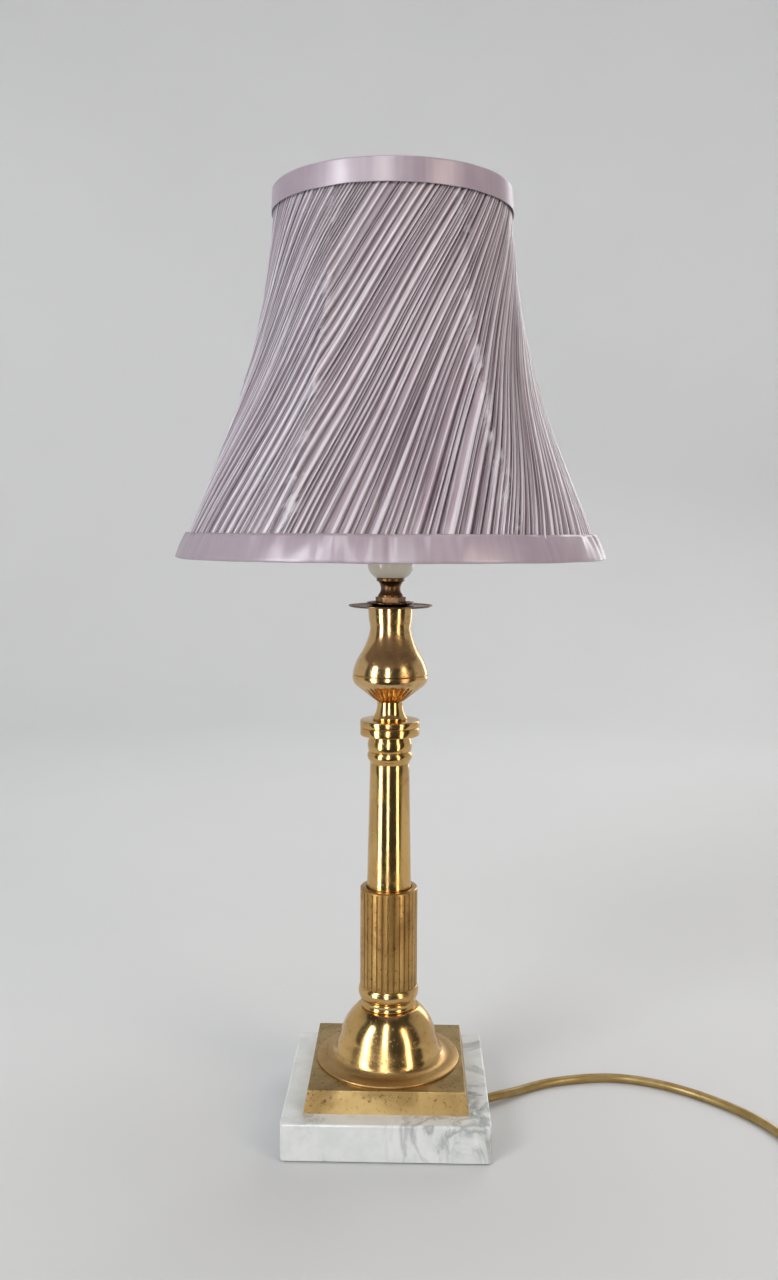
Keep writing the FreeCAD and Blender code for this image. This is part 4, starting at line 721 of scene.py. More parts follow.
def cloth_grid(name: str, points: np.ndarray) -> bpy.types.Object:
    """A ring of cloth from a grid of points, with a map in metres along its two ways.

    Args:
        name: the piece's name.
        points: an array of rows, columns and three coordinates; the last column joins the first.

    Returns:
        The new piece.
    """
    rows, columns = points.shape[:2]
    width = float(np.linalg.norm(np.diff(points, axis=1), axis=2).sum(axis=1).mean())
    height = float(np.linalg.norm(np.diff(points, axis=0), axis=2).sum(axis=0).mean())
    faces, corner_map = [], []
    for row in range(rows - 1):
        low, high = row / rows * height, (row + 1) / rows * height
        for column in range(columns):
            right = (column + 1) % columns
            faces.append((row * columns + column, row * columns + right,
                          (row + 1) * columns + right, (row + 1) * columns + column))
            near, far = column / columns * width, (column + 1) / columns * width
            corner_map += [near, low, far, low, far, high, near, high]
    mesh = bpy.data.meshes.new(name)
    mesh.from_pydata([tuple(point) for point in points.reshape(-1, 3)], [], faces)
    mesh.uv_layers.new(name="map").data.foreach_set("uv", corner_map)
    piece = bpy.data.objects.new(name, mesh)
    bpy.context.scene.collection.objects.link(piece)
    for polygon in mesh.polygons:
        polygon.use_smooth = True
    return piece


def dress(piece: bpy.types.Object, material: bpy.types.Material) -> None:
    """Give a piece one material."""
    piece.data.materials.clear()
    piece.data.materials.append(material)


def dress_nodes(material: bpy.types.Material, *names: str) -> None:
    """Give some of the frame's own pieces a finish."""
    for name in names:
        dress(frame["nodes"][name], material)


def hand_over(piece: bpy.types.Object, body: Body, material: bpy.types.Material, slot: str,
              *nodes: str) -> None:
    """Dress a new piece and seat it in the frame.

    Args:
        piece: the finished piece.
        body: the body that it moves with.
        material: its finish.
        slot: the record's material slot of that finish; not used.
        nodes: the frame's nodes that it stands for.
    """
    dress(piece, material)
    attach(piece, body.value)
    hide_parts(*nodes)
    LOG.info("%s made: %d faces", piece.name, len(getattr(piece.data, "polygons", ())))


def foot_of(node: str) -> float:
    """The height of a frame node's foot, in metres."""
    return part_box(node)[0].z


def turned_piece(name: str, node: str, outline: Outline, steps: int, edge: float, material: bpy.types.Material,
                 slot: str = "polished_brass") -> None:
    """Turn a piece of the stand, round its edges and put it in a node's place.

    Args:
        name: the piece's name.
        node: the frame's node that it stands for, on whose foot it sits.
        outline: its closed outline.
        steps: how many faces go round.
        edge: how wide its edges are rounded, in millimetres.
        material: its finish.
        slot: the record's material slot of that finish.
    """
    piece = turn(name, outline.metres(foot_of(node)), steps)
    soften(piece, edge * MM)
    hand_over(piece, Body.STAND, material, slot, node)


# ---------------------------------------------------------------- the stand
@dataclass
class MarbleFoot:
    """The marble block on its felt, the flex's bush and clamp, and the metal that holds the stack together."""

    palette: Palette

    def build(self) -> None:
        """Dress the frame's own pieces."""
        dress_nodes(self.palette.felt, "felt_pad")
        dress_nodes(self.palette.marble, "marble_base")
        dress_nodes(self.palette.rubber, "cord_grommet")
        dress_nodes(self.palette.black, "cord_clamp")
        dress_nodes(self.palette.steel, "clamp_washer", "split_washer", "bottom_nut", "stem_tube", "grub_screw")
        dress_nodes(self.palette.bronze, "locknut")
        dress_nodes(self.palette.contact, "earth_tag")


@dataclass
class BrassFoot:
    """The bevelled plate, the dome that stands on it and the ring over the dome."""

    palette: Palette

    def build(self) -> None:
        """Dress the plate and turn the dome and the ring."""
        dress_nodes(self.palette.plate, "plinth_plate")
        dome = (Outline(47.6).to(47.6, 1.3).to(46.9, 1.75).to(42.0, 2.7)
                .swell(34.5, 8.8, -1.7, 14).swell(32.1, 16.0, 0.1, 4).sweep((0, 10.5), 32.5, 12, 51.8, 20)
                .to(BORE, 36.1).to(BORE, 33.1).sweep((0, 10.5), 30.3, 48, 0, 10).to(30.3, 0))
        turned_piece("dome_foot_turned", "dome_foot", dome, 160, 0.3, self.palette.dome)
        ring = (Outline(17.9).swell(17.9, 2.1, 0.4, 5).to(17.6, 2.6).to(18.5, 3.1).to(18.5, 5.0)
                .to(18.1, 5.4).swell(19.0, 14.5, 1.5, 10).to(BORE, 14.5).to(BORE, 0))
        turned_piece("knuckle_turned", "knuckle_ring", ring, 128, 0.2, self.palette.polished)


@dataclass
class ColumnShaft:
    """The fluted sleeve, the tapered tube and the rings above it. Sizes are in millimetres."""

    palette: Palette
    sleeve_height: float = 66.7
    flutes: int = 32
    flute_depth: float = 0.85
    flute_reach: float = 0.30
    flutes_from: float = 0.1
    flutes_to: float = 64.85
    tube_height: float = 149.9

    def build(self) -> None:
        """Turn the tube and its rings, and draw in the sleeve's flutes."""
        self.sleeve()
        self.tube()
        self.rings()

    def sleeve(self) -> None:
        """The outer sleeve with its narrow flutes."""
        foot, top = foot_of("fluted_sleeve"), self.sleeve_height
        outline = (Outline(15.25).to(18.9, 0).to(19.0, 0.2).line(19.0, 64.8, 12)
                   .to(19.0, 65.1).to(19.0, 66.1).to(18.4, top).to(15.25, top))
        sleeve = turn("fluted_sleeve_turned", outline.metres(foot), 384)

        def groove(across: float, _up: float) -> float:
            """A narrow round flute in the middle of its pitch."""
            return math.sqrt(max(0.0, 1 - (across / self.flute_reach) ** 2))

        scallop(sleeve, self.flutes, foot + self.flutes_from * MM, foot + self.flutes_to * MM,
                self.flute_depth * MM, groove)
        smooth(sleeve, 30)
        hand_over(sleeve, Body.STAND, self.palette.sleeve, "satin_brass", "fluted_sleeve")

    def tube(self) -> None:
        """The tapered tube that carries the urn."""
        outline = (Outline(13.3).to(14.9, 0).to(14.64, self.sleeve_height).line(12.9, self.tube_height, 12)
                   .to(11.3, self.tube_height))
        turned_piece("column_tube_turned", "column_tube", outline, 144, 0.15, self.palette.polished)

    def rings(self) -> None:
        """The beaded collar, the grooved disc and the hollow cone."""
        collar = (Outline(BORE).to(12.9, 0).to(13.3, 1.7).to(13.9, 2.3).swell(13.9, 7.8, 0.85, 9)
                  .to(13.55, 8.0).to(13.9, 8.2).swell(13.5, 16.8, 0.85, 10).to(13.4, 18.7).to(BORE, 18.7))
        turned_piece("reeded_collar_turned", "reeded_collar", collar, 112, 0.12, self.palette.polished)
        disc = (Outline(BORE).to(19.0, 0).to(19.5, 0.5).to(19.5, 5.0).to(18.9, 5.4).to(19.5, 5.8)
                .to(19.5, 9.6).to(19.0, 10.1).to(BORE, 10.1))
        turned_piece("cap_disc_turned", "cap_disc", disc, 128, 0.18, self.palette.polished)
        cone = (Outline(BORE).to(11.3, 0).to(11.3, 1.6).swell(8.45, 11.1, -0.9, 10).to(8.45, 11.9)
                .to(BORE, 11.9))
        turned_piece("neck_cone_turned", "neck_cone", cone, 96, 0.15, self.palette.polished)


@dataclass
class UrnCandle:
    """The gadrooned urn, the pans over it and the spindle. Sizes are in millimetres."""

    palette: Palette
    gadroons: int = 28
    steps_per_gadroon: int = 14
    gadroon_depth: float = 1.0
    gadroons_from: float = 0.6
    gadroons_to: float = 12.6

    def build(self) -> None:
        """Turn each piece and draw in the gadroons under the urn's belly."""
        self.urn()
        bronze = self.palette.bronze
        pan = Outline(BORE).to(25.7, 0).to(27.2, 0.5).to(27.2, 1.2).to(25.6, 1.0).to(BORE, 1.0)
        turned_piece("drip_pan_turned", "drip_pan", pan, 144, 0.12, bronze, "dark_bronze")
        saucer = Outline(BORE).to(10.4, 0).swell(15.4, 1.5, 0.2, 6).to(15.2, 2.2).to(10, 0.9).to(BORE, 0.9)
        turned_piece("saucer_turned", "dark_saucer", saucer, 112, 0.1, bronze, "dark_bronze")
        spindle = (Outline(BORE).to(7.9, 0).to(8.2, 0.4).to(8.2, 1.2).to(7.7, 1.6)
                   .swell(8.3, 10.0, -1.6, 12).to(9.2, 10.3).to(9.2, 12.2).to(8.9, 12.5).to(BORE, 12.5))
        turned_piece("spindle_turned", "spindle", spindle, 96, 0.12, bronze, "dark_bronze")

    def urn(self) -> None:
        """The urn with its turned line and its gadroons."""
        foot = foot_of("urn")
        outline = (Outline(BORE).to(8.5, 0).to(9.0, 0.6).line(22.9, 11.4, 10)
                   .swell(24.6, 17.7, 0.75, 10).to(23.9, 18.2).to(24.55, 18.7)
                   .swell(19.0, 32.2, 0.8, 12).swell(13.15, 48, -0.75, 14).to(13.45, 51.6).to(13.9, 51.9)
                   .to(14.4, 59.1).to(14.4, 62.1).to(BORE, 62.1).to(BORE, 59.7).to(11.9, 59.7)
                   .to(10.8, 50).swell(16.6, 32, 0.7, 6).to(21.9, 18.4).to(20.4, 13.2).to(9, 6).to(BORE, 6))
        urn = turn("urn_turned", outline.metres(foot), self.gadroons * self.steps_per_gadroon)

        def gadroon(across: float, up: float) -> float:
            """Rounded lobes with sharp valleys between, fading out at both ends."""
            valley = max(0.0, 1 - (1 - abs(across)) / 0.8)
            ends = min(1.0, max(0.0, up / 0.12)) * min(1.0, max(0.0, (1 - up) / 0.25))
            return valley ** 1.5 * ends

        scallop(urn, self.gadroons, foot + self.gadroons_from * MM, foot + self.gadroons_to * MM,
                self.gadroon_depth * MM, gadroon)
        smooth(urn, 28)
        hand_over(urn, Body.STAND, self.palette.urn, "polished_brass", "urn")


# ---------------------------------------------------------------- lampholder and bulb
@dataclass
class Lampholder:
    """The cream switched lampholder, with its contacts and their springs."""

    palette: Palette
    plunger_travel: float = 2.0

    def build(self) -> None:
        """Dress the moulded parts and the metal in them, and give the springs a mesh of their own."""
        dress_nodes(self.palette.cream, "holder_cap", "holder_body", "switch_bar", "shade_ring", "contact_carrier")
        dress_nodes(self.palette.contact, "terminals", "contact_plungers", "bayonet_barrel")
        dress_nodes(self.palette.steel, "plunger_springs")
        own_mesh(frame["nodes"]["plunger_springs"])


@dataclass
class GlassBulb:
    """The clear round bulb with its cap, pins and filament."""

    palette: Palette

    def build(self) -> None:
        """Dress the bulb's pieces."""
        dress_nodes(self.palette.glass, "bulb_glass", "bulb_mount")
        dress_nodes(self.palette.aluminium, "bulb_cap", "bulb_pins")
        dress_nodes(self.palette.steel, "bulb_contacts")
        dress_nodes(self.palette.tungsten, "bulb_filament")


# ---------------------------------------------------------------- the shade
@dataclass(frozen=True)
class ShadeForm:
    """The form of the shade's frame, in millimetres and degrees."""

    height: float = 228.5
    top_radius: float = 74.0
    top_angle: float = 3.0
    flare_angle: float = 20.5
    arc_drop: float = 150.0
    struts: int = 6
    strut_turn: float = 4.0
    dip: float = 0.06

    def radius(self, level: float) -> float:
        """The cover's radius over a strut, at a height above the shade's foot."""
        drop = self.height - level
        start, end = math.radians(self.top_angle), math.radians(self.flare_angle)
        bend = self.arc_drop / (math.sin(end) - math.sin(start))
        if drop <= self.arc_drop:
            angle = math.asin(math.sin(start) + drop / bend)
            return self.top_radius + bend * (math.cos(start) - math.cos(angle))
        return (self.top_radius + bend * (math.cos(start) - math.cos(end))
                + (drop - self.arc_drop) * math.tan(end))

    def off_strut(self, azimuth: float) -> float:
        """How far a direction in radians is from the nearest strut, as a share of the gap between two."""
        gap = math.tau / self.struts
        return abs(((azimuth - math.radians(self.strut_turn)) / gap + 0.5) % 1.0 - 0.5)

    def faced(self, level: float, azimuth: float) -> float:
        """The radius at a height and an azimuth: the cloth lies flatter between the struts.

        Args:
            level: the height above the shade's foot.
            azimuth: the direction, in radians.

        Returns:
            The radius.
        """
        face = math.tau / self.struts
        sag = self.dip * math.sin(math.pi * min(1.0, max(0.0, level / self.height))) ** 2
        flat = math.cos(face / 2) / math.cos(self.off_strut(azimuth) * face - face / 2)
        share = sag / (1 - math.cos(face / 2))
        return self.radius(level) * (1 - share * (1 - flat))


@dataclass
class Shade:
    """The pleated cover, its lining and its two satin bands, over the wire frame.

    Sizes are in millimetres and angles in degrees. The cloth stops a margin short of the frame's two ends;
    geodesic is how near the line of a pleat would pass to the shade's axis.
    """

    palette: Palette
    form: ShadeForm = field(default_factory=ShadeForm)
    margin: float = 1.4
    pleats: int = 150
    columns: int = 8
    rows: int = 80
    geodesic: float = 41.5
    pleats_start: float = -118.0
    pleat_seed: int = 41
    lining_inset: float = 5.5
    lining_rows: int = 24
    lining_columns: int = 144
    band_columns: int = 480
    top_band_depth: float = 14.8
    top_band_seed: int = 7
    bottom_band_depth: float = 15.9
    bottom_band_seed: int = 19

    def __post_init__(self) -> None:
        """Find the height of the shade's foot, in metres, and the ends of the cloth."""
        self.foot = foot_of("bottom_trim")
        self.low, self.high = self.margin, self.form.height - self.margin

    def build(self) -> None:
        """Make the cloth pieces and dress the wires."""
        struts = [f"shade_strut_{number}" for number in range(1, self.form.struts + 1)]
        dress_nodes(self.palette.wire, "shade_top_ring", "shade_bottom_ring", "fitter_ring", "fitter_arms", *struts)
        self.cover()
        self.lining()
        self.top_band()
        self.bottom_band()

    def place(self, radius: float, azimuth: float, level: float) -> tuple[float, float, float]:
        """A point in metres, from a radius and a height above the shade's foot in millimetres."""
        return radius * MM * math.cos(azimuth), radius * MM * math.sin(azimuth), self.foot + level * MM

    def twist(self) -> list[float]:
        """How far round a pleat has gone at each row, in radians: it runs straight over the flared cloth."""
        turns = [0.0]
        step = (self.high - self.low) / self.rows
        for row in range(self.rows):
            level = self.low + (row + 0.5) * step
            radius = self.form.radius(level)
            run = step * math.hypot(1, radius - self.form.radius(level + 1))
            turns.append(turns[-1] + run * math.tan(math.asin(self.geodesic / radius)) / radius)
        return turns

    def cover(self) -> None:
        """The satin, folded in uneven knife pleats that climb to the right."""
        dice = random.Random(self.pleat_seed)
        widths = [dice.uniform(0.40, 1.0) if dice.random() < 0.6 else dice.uniform(1.0, 1.9)
                  for _ in range(self.pleats)]
        edges = np.cumsum([0.0] + widths) / sum(widths) * math.tau
        spans = np.diff(edges)
        depth = [dice.uniform(0.70, 1.0) for _ in range(self.pleats)]
        crest = [dice.uniform(0.62, 0.86) for _ in range(self.pleats)]
        minor = [dice.uniform(0.0, 0.34) for _ in range(self.pleats)]
        waves = [(dice.uniform(0.5, 2.2), dice.uniform(0, math.tau), dice.uniform(0, 1)) for _ in range(self.pleats)]

        turns = self.twist()
        start = math.radians(self.pleats_start)
        count = self.pleats * self.columns
        points = np.zeros((self.rows + 1, count, 3))
        fold_shading, strut = np.zeros((self.rows + 1, count)), np.zeros((self.rows + 1, count))
        for row in range(self.rows + 1):
            climb = row / self.rows
            level = self.low + (self.high - self.low) * climb
            fullness = 1.0 + 1.2 * self.form.radius(level) / 134.0
            hold = min(1.0, 0.35 + climb * 12) * min(1.0, 0.35 + (1 - climb) * 12)
            swing = [0.16 * math.sin(rate * math.tau * climb + phase) * share for rate, phase, share in waves]
            shift = [sway * span * 0.8 for sway, span in zip(swing, spans)]
            for pleat in range(self.pleats):
                before, after = shift[pleat], shift[(pleat + 1) % self.pleats]
                deep = depth[pleat] * (1 + 0.8 * swing[pleat])
                for column in range(self.columns):
                    across = column / self.columns
                    angle = start + edges[pleat] + before + (spans[pleat] + after - before) * across + turns[row]
                    rise = self.profile(across, crest[pleat], minor[pleat] * (1 + swing[pleat] * 3))
                    near = self.form.off_strut(angle)
                    press = 0.55 + 0.45 * min(1.0, near / 0.06)
                    radius = self.form.faced(level, angle) - 0.75 + (rise - 0.45) * fullness * deep * press * hold
                    index = pleat * self.columns + column
                    points[row, index] = self.place(radius, angle, level)
                    # fold_shading holds the pleat's height, from which the satin paints shade in the valleys and
                    # highlights on the crests; strut holds the nearness to a strut, where it paints glints.
                    fold_shading[row, index] = rise * (0.35 + 0.65 * deep)
                    strut[row, index] = max(0.0, 1.0 - near / 0.07)
        cover = cloth_grid("pleated_cover", points)
        for name, values in (("fold_shading", fold_shading), ("strut", strut)):
            layer = cover.data.attributes.new(name, "FLOAT", "POINT")
            layer.data.foreach_set("value", values.reshape(-1))
        hand_over(cover, Body.SHADE, self.palette.cover, "lilac_satin", "shade_cover")

    @staticmethod
    def profile(across: float, crest: float, minor: float) -> float:
        """The height of a knife pleat, from 0 to 1, across its width.

        Args:
            across: the place across it, from 0 to 1.
            crest: where its folded edge stands.
            minor: how strong the small crease in its face is.

        Returns:
            The share of the pleat's depth.
        """
        if across < crest:
            climb = across / crest
            face = 0.22 + 0.78 * climb ** 0.75
            return face + minor * math.sin(climb * math.tau * 1.5) * (1 - climb) * 0.8
        fall = (across - crest) / (1 - crest)
        return (1 - fall) ** 1.3

    def lining(self) -> None:
        """The smooth lining inside the wires."""
        points = np.zeros((self.lining_rows + 1, self.lining_columns, 3))
        for row in range(self.lining_rows + 1):
            level = self.low + (self.high - self.low) * row / self.lining_rows
            for column in range(self.lining_columns):
                angle = math.tau * column / self.lining_columns
                points[row, column] = self.place(self.form.faced(level, angle) - self.lining_inset, angle, level)
        lining = cloth_grid("smooth_lining", points)
        hand_over(lining, Body.SHADE, self.palette.lining, "lilac_lining", "shade_lining")

    def band(self, name: str, outline: Sequence[tuple[float, float]],
             pucker: Callable[[float, float], tuple[float, float]]) -> bpy.types.Object:
        """A satin band round the shade.

        Args:
            name: the piece's name.
            outline: points of (radius, height) in millimetres, from the outside edge over the rim to the inside.
            pucker: from the azimuth and the place across the band (0 to 1) to shifts out and up.

        Returns:
            The band.
        """
        points = np.zeros((len(outline), self.band_columns, 3))
        for row, (radius, level) in enumerate(outline):
            for column in range(self.band_columns):
                angle = math.tau * column / self.band_columns
                out, up = pucker(angle, row / (len(outline) - 1))
                points[row, column] = self.place(radius + out, angle, level + up)
        return cloth_grid(name, points)

    def top_band(self) -> None:
        """The smooth band over the top edge."""
        form, edge, deep = self.form, self.form.height, self.top_band_depth
        rim = form.radius(edge)
        outline = [(form.radius(edge - 14.4) + 0.35, edge - 14.4)]
        outline += [(form.radius(edge - drop) + 1.1 + 0.25 * math.sin(math.pi * (deep - drop) / deep), edge - drop)
                    for drop in (deep, 14.2, 12.5, 10, 7.5, 5, 3, 1.6)]
        outline += [(rim + out, edge - drop) for out, drop in
                    ((1.3, 0.7), (0.9, 0.15), (0.2, 0), (-2.5, 0), (-5.4, 0.1), (-6.2, 0.6), (-6.4, 1.5),
                     (-6.5, 5), (-6.5, 9.5))]
        dice = random.Random(self.top_band_seed)
        waves = [(rate, dice.uniform(0, math.tau), dice.uniform(0.3, 1.0)) for rate in (3, 5, 8, 13, 19)]

        def pucker(angle: float, across: float) -> tuple[float, float]:
            """A slight unevenness, all but smooth."""
            total = sum(share * math.sin(rate * angle + phase + across * 2) for rate, phase, share in waves)
            return total * 0.11, total * 0.07 * (1 - across)

        band = self.band("top_band", outline, pucker)
        hand_over(band, Body.SHADE, self.palette.band, "lilac_satin", "top_trim")

    def bottom_band(self) -> None:
        """The band over the foot, drawn up in small puckers."""
        form, deep = self.form, self.bottom_band_depth
        rim, upper = form.radius(0), form.radius(deep) + 1.5
        outline = [(form.radius(15.5) + 0.4, 15.4)]
        outline += [(upper + (rim + 2.15 - upper) * step / 10 + 0.45 * math.sin(math.pi * step / 10),
                     deep - step * 1.5) for step in range(11)]
        outline += [(rim + out, level) for out, level in
                    ((1.8, 0.3), (1.1, 0.05), (-2.5, 0.0), (-5.6, 0.1), (-6.4, 0.7))]
        outline += [(form.radius(level) - 6.5, level) for level in (4.0, 9.5)]
        dice = random.Random(self.bottom_band_seed)
        tucks = [(dice.uniform(0, math.tau), dice.uniform(0.010, 0.032), dice.uniform(-1.1, 0.8)) for _ in range(90)]
        waves = [(rate, dice.uniform(0, math.tau), dice.uniform(0.4, 1.0)) for rate in (4, 7, 11, 17)]
        ripples = [(rate, dice.uniform(0, math.tau), dice.uniform(0.5, 1.0)) for rate in (21, 29, 38)]

        def pucker(angle: float, across: float) -> tuple[float, float]:
            """Tucks under the upper edge that fade towards the foot."""
            fade = max(0.0, 1 - across * 1.9)
            out = 0.0
            for middle, spread, push in tucks:
                gap = (angle - middle + math.pi) % math.tau - math.pi
                out += push * math.exp(-(gap / spread) ** 2)
            swell = sum(share * math.sin(rate * angle + phase) for rate, phase, share in waves)
            ripple = sum(share * math.sin(rate * angle + phase + 4 * across) for rate, phase, share in ripples)
            where = 0.35 + 0.65 * math.sin(5 * angle + 1.3) ** 2
            return (max(-1.2, min(1.0, out)) * 1.4 * (0.2 + fade) * min(1.0, across * 8 + 0.4)
                    + ripple * 0.66 * where * (0.25 + 0.75 * fade) + swell * 0.25, swell * 0.10)

        band = self.band("bottom_band", outline, pucker)
        hand_over(band, Body.SHADE, self.palette.band, "lilac_satin", "bottom_trim")


# ---------------------------------------------------------------- the flex
@dataclass
class Flex:
    """The round flex from the block's right side, its coil and its plug. Sizes are in millimetres."""

    palette: Palette
    diameter: float = 6.1
    start: tuple[float, float, float] = (67.3244, 9.3042, 5.0)
    route: tuple[tuple[float, float, float], ...] = (
        (76.5, 14.3, 5.0), (87.5, 21.6, 3.8), (99.5, 30.2, 3.2), (113.0, 37.2, 3.15), (127.0, 41.6, 3.15),
        (142.0, 44.9, 3.15), (157.0, 46.4, 3.15), (172.0, 44.4, 3.15), (187.0, 39.4, 3.15),
        (201.5, 32.0, 3.15), (215.0, 22.6, 3.15), (228.0, 11.2, 3.15), (239.5, -1.0, 3.15),
        (249.0, -14.6, 3.15), (256.0, -29.5, 3.15), (261.0, -45.0, 3.15), (263.2, -60.5, 3.15),
        (263.2, -74.0, 3.15))
    coil_radius: float = 36.5
    pitch: float = 6.75
    layer: float = 6.75
    quarters: int = 25
    steps_per_turn: int = 36
    straight: float = 6.1

    def coil(self) -> list[tuple[float, float, float]]:
        """The coil's points: inward on the floor, up at the middle, and outward over itself."""
        total = self.quarters * math.pi / 2
        turn_back = total / 2
        outer = self.coil_radius + self.pitch * total / 2 / math.tau / 2
        end = self.route[-1]
        centre = (end[0] + outer, end[1] - self.straight)
        count = int(total / math.tau * self.steps_per_turn)
        points = []
        for index in range(count + 1):
            angle = total * index / count
            radius = outer - self.pitch * (turn_back - abs(angle - turn_back)) / math.tau
            radius /= math.cos(math.pi / self.steps_per_turn)
            climb = min(1.0, max(0.0, (angle - turn_back) / math.pi + 0.5))
            lift = self.layer * (1 - math.cos(math.pi * climb)) / 2
            points.append((centre[0] + radius * math.cos(math.pi + angle),
                           centre[1] + radius * math.sin(math.pi + angle), end[2] + lift))
        last = points[-1]
        return [*points, (last[0] + self.straight, last[1], last[2])]

    def build(self) -> None:
        """Lay the flex as one curve and dress its plug and inner ends."""
        dress_nodes(self.palette.flex, "lead_tail")
        dress_nodes(self.palette.brown_core, "supply_cores")
        dress_nodes(self.palette.green_core, "earth_core")
        dress_nodes(self.palette.black, "plug_body")
        dress_nodes(self.palette.contact, "plug_pins")

        curve = bpy.data.curves.new("flex_line", "CURVE")
        curve.dimensions = "3D"
        curve.bevel_depth = self.diameter / 2 * MM
        curve.bevel_resolution = 5
        curve.resolution_u = 3
        spline = curve.splines.new("NURBS")
        points = [self.start, *self.route, *self.coil()]
        spline.points.add(len(points) - 1)
        for target, place in zip(spline.points, points):
            target.co = (*(value * MM for value in place), 1.0)
        spline.order_u = 3
        spline.use_endpoint_u = True
        flex = bpy.data.objects.new("flex_line", curve)
        bpy.context.scene.collection.objects.link(flex)
        hand_over(flex, Body.STAND, self.palette.flex, "gold_flex", "flex_lead", "flex_coil")


# ---------------------------------------------------------------- studio
COOL, PLAIN, WARM = (0.96, 0.98, 1.0), (1.0, 0.99, 0.97), (1.0, 0.86, 0.72)


@dataclass(frozen=True)
class SoftLamp:
    """A soft rectangular lamp, in metres and watts, that faces a point.

    use is "gloss" for reflections only, "flood" for even light only, or "both".
    """

    name: str
    place: tuple[float, float, float]
    size: tuple[float, float]
    power: float
    colour: Colour
    use: str = "both"
    target: tuple[float, float, float] = (0, 0, 0.3)

    def hang(self) -> None:
        """Put the lamp in the studio."""
        light = bpy.data.lights.new(self.name, "AREA")
        light.shape = "RECTANGLE"
        light.size, light.size_y = self.size
        light.energy = self.power
        light.color = self.colour
        lamp = bpy.data.objects.new(self.name, light)
        bpy.context.scene.collection.objects.link(lamp)
        lamp.location = self.place
        lamp.rotation_euler = (Vector(self.target) - Vector(self.place)).to_track_quat("-Z", "Y").to_euler()
        lamp.visible_camera = False
        lamp.visible_diffuse = self.use != "gloss"
        lamp.visible_glossy = self.use != "flood"


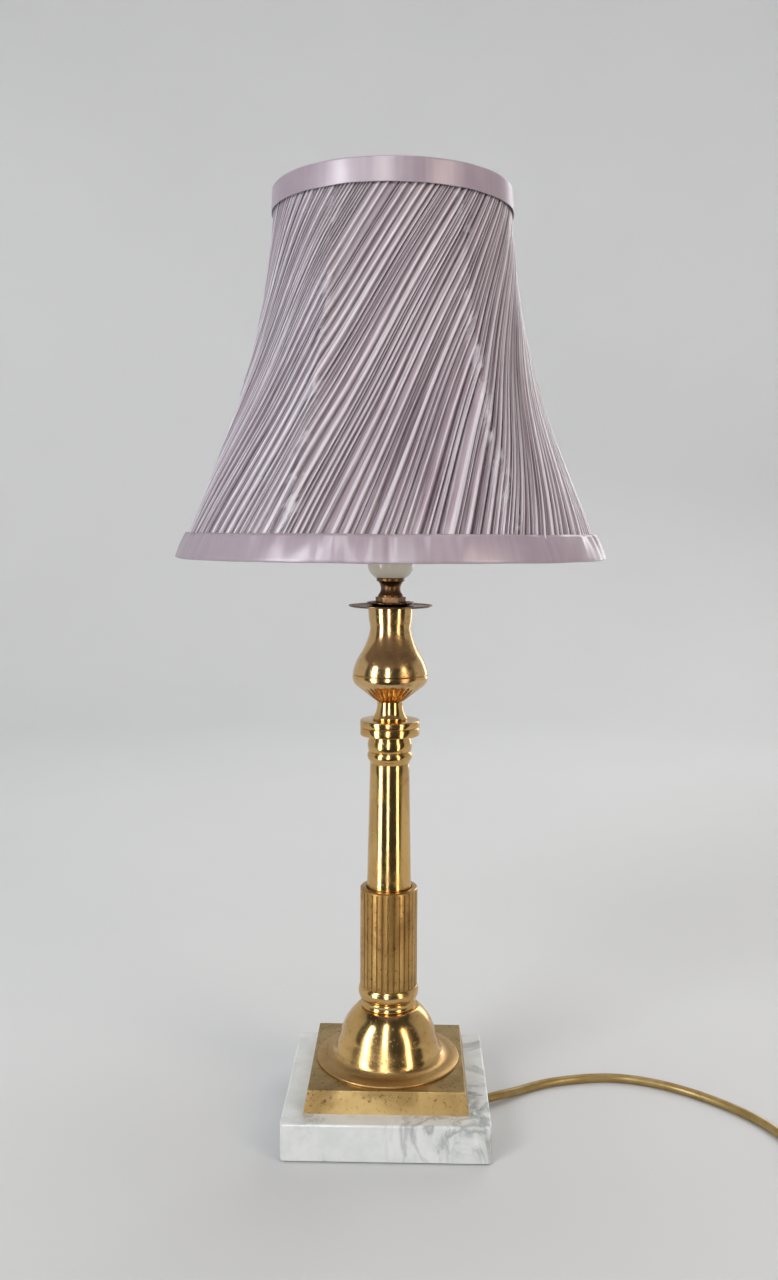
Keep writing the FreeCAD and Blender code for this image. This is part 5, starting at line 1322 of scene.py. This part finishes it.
@dataclass
class Studio:
    """A round pale floor that turns up into a wall, soft lamps and the camera. Sizes are in metres."""

    floor_radius: float = 1.9
    cove: float = 0.9
    wall_top: float = 2.9
    thickness: float = 0.05
    floor_y: float = -0.32
    camera_place: tuple[float, float, float] = (0.014366, -0.743919, 0.391908)
    yaw: float = -1.176
    pitch: float = 5.461
    roll: float = 0.316
    lens: float = 32.26
    lamps: tuple[SoftLamp, ...] = (
        SoftLamp("left_window", (-1.35, -1.10, 0.55), (0.38, 2.2), 30, COOL, "gloss"),
        SoftLamp("near_window", (-0.22, -1.85, 0.95), (0.26, 2.9), 24, PLAIN, "gloss"),
        SoftLamp("right_window", (1.25, -1.15, 0.50), (0.24, 2.0), 12, WARM, "gloss"),
        SoftLamp("back_window", (0.9, 1.3, 0.80), (0.4, 1.6), 6, COOL, "gloss"),
        SoftLamp("key", (-1.5, -1.9, 1.7), (1.1, 1.1), 31, COOL, "flood"),
        SoftLamp("fill", (1.7, -1.5, 1.3), (1.0, 1.0), 15, WARM, "flood"),
        SoftLamp("back_fill", (0.8, 1.5, 1.5), (1.0, 1.0), 8, PLAIN, "flood"),
        SoftLamp("overhead", (0.1, 0.30, 1.9), (1.6, 1.2), 8, PLAIN),
        SoftLamp("backdrop_wash", (0.0, 0.9, 1.9), (2.2, 0.5), 9, PLAIN, "flood", (0, 2.6, 0.7)),
        SoftLamp("near_wall_wash", (0.0, -1.3, 1.9), (2.2, 0.5), 9, PLAIN, "flood", (0, -3.1, 0.7)),
        SoftLamp("left_wall_wash", (-1.1, -0.3, 1.9), (0.5, 2.2), 7, PLAIN, "flood", (-2.8, -0.3, 0.7)),
        SoftLamp("right_wall_wash", (1.1, -0.3, 1.9), (0.5, 2.2), 7, PLAIN, "flood", (2.8, -0.3, 0.7)))

    def build(self) -> None:
        """Set up the stage."""
        self.floor()
        self.world()
        for lamp in self.lamps:
            lamp.hang()
        self.camera()
        bpy.context.scene.view_settings.view_transform = "Standard"

    def floor(self) -> None:
        """A floor in two half rounds; metal doesn't mirror the near one, as past a table's edge."""
        paint = Paint("pale_floor")
        cloud = paint.noise(4, 3, 0.5)
        matt = paint.finish(Base_Color=paint.blend(cloud, (0.69, 0.70, 0.71), (0.72, 0.73, 0.74)),
                            Roughness=1.0, Specular_IOR_Level=0.0)
        inner = self.floor_radius + self.cove
        outer = inner + self.thickness
        section = [(0.0, 0.0)]
        for angle in range(0, 91, 9):
            bend = math.radians(angle)
            section.append((self.floor_radius + self.cove * math.sin(bend), self.cove - self.cove * math.cos(bend)))
        section += [(inner, self.wall_top), (outer, self.wall_top), (outer, -self.thickness), (0.0, -self.thickness)]
        for name, around in (("floor", math.pi), ("other_floor", -math.pi)):
            floor = turn(name, section, 72, around)
            floor.visible_glossy = sum(vertex.co.y for vertex in floor.data.vertices) > 0
            floor.location.y = self.floor_y
            settle(floor)
            smooth(floor, 40)
            dress(floor, matt)

    def world(self) -> None:
        """A dim even room."""
        world = bpy.data.worlds.new("room")
        world.use_nodes = True
        back = world.node_tree.nodes["Background"]
        back.inputs["Color"].default_value = (0.80, 0.80, 0.82, 1.0)
        back.inputs["Strength"].default_value = 0.06
        bpy.context.scene.world = world

    def camera(self) -> None:
        """The camera, where the photograph was taken from."""
        yaw, pitch, roll = (math.radians(angle) for angle in (self.yaw, self.pitch, self.roll))
        ahead = Vector((math.sin(yaw) * math.cos(pitch), math.cos(yaw) * math.cos(pitch), -math.sin(pitch)))
        right = Vector((math.cos(yaw), -math.sin(yaw), 0))
        up = right.cross(ahead)
        across = right * math.cos(roll) + up * math.sin(roll)
        upward = up * math.cos(roll) - right * math.sin(roll)
        data = bpy.data.cameras.new("camera")
        data.lens, data.sensor_width = self.lens, 36
        camera = bpy.data.objects.new("camera", data)
        bpy.context.scene.collection.objects.link(camera)
        turned = Matrix((across, upward, -ahead)).transposed()
        camera.matrix_world = Matrix.Translation(self.camera_place) @ turned.to_4x4()
        bpy.context.scene.camera = camera


class Lamp:
    """The whole lamp: its parts in the order they are put together."""

    def __init__(self) -> None:
        """Make the finishes and name the parts."""
        palette = Palette()
        self.parts = [MarbleFoot(palette), BrassFoot(palette), ColumnShaft(palette), UrnCandle(palette),
                      Lampholder(palette), GlassBulb(palette), Shade(palette), Flex(palette)]

    def build(self) -> None:
        """Build every part."""
        for part in self.parts:
            part.build()


def clear_start_up() -> None:
    """Remove the objects that a new file starts with."""
    kept = {piece.name for piece in (*frame["nodes"].values(), *frame["bodies"].values())}
    for piece in list(bpy.data.objects):
        if piece.name not in kept and piece.type in {"MESH", "LIGHT", "CAMERA"}:
            bpy.data.objects.remove(piece, do_unlink=True)


def main() -> None:
    """Build the lamp in its studio."""
    logging.basicConfig(level=logging.INFO, format="%(name)s: %(message)s")
    clear_start_up()
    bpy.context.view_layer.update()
    Lamp().build()
    Studio().build()


if __name__ == "__main__":
    main()
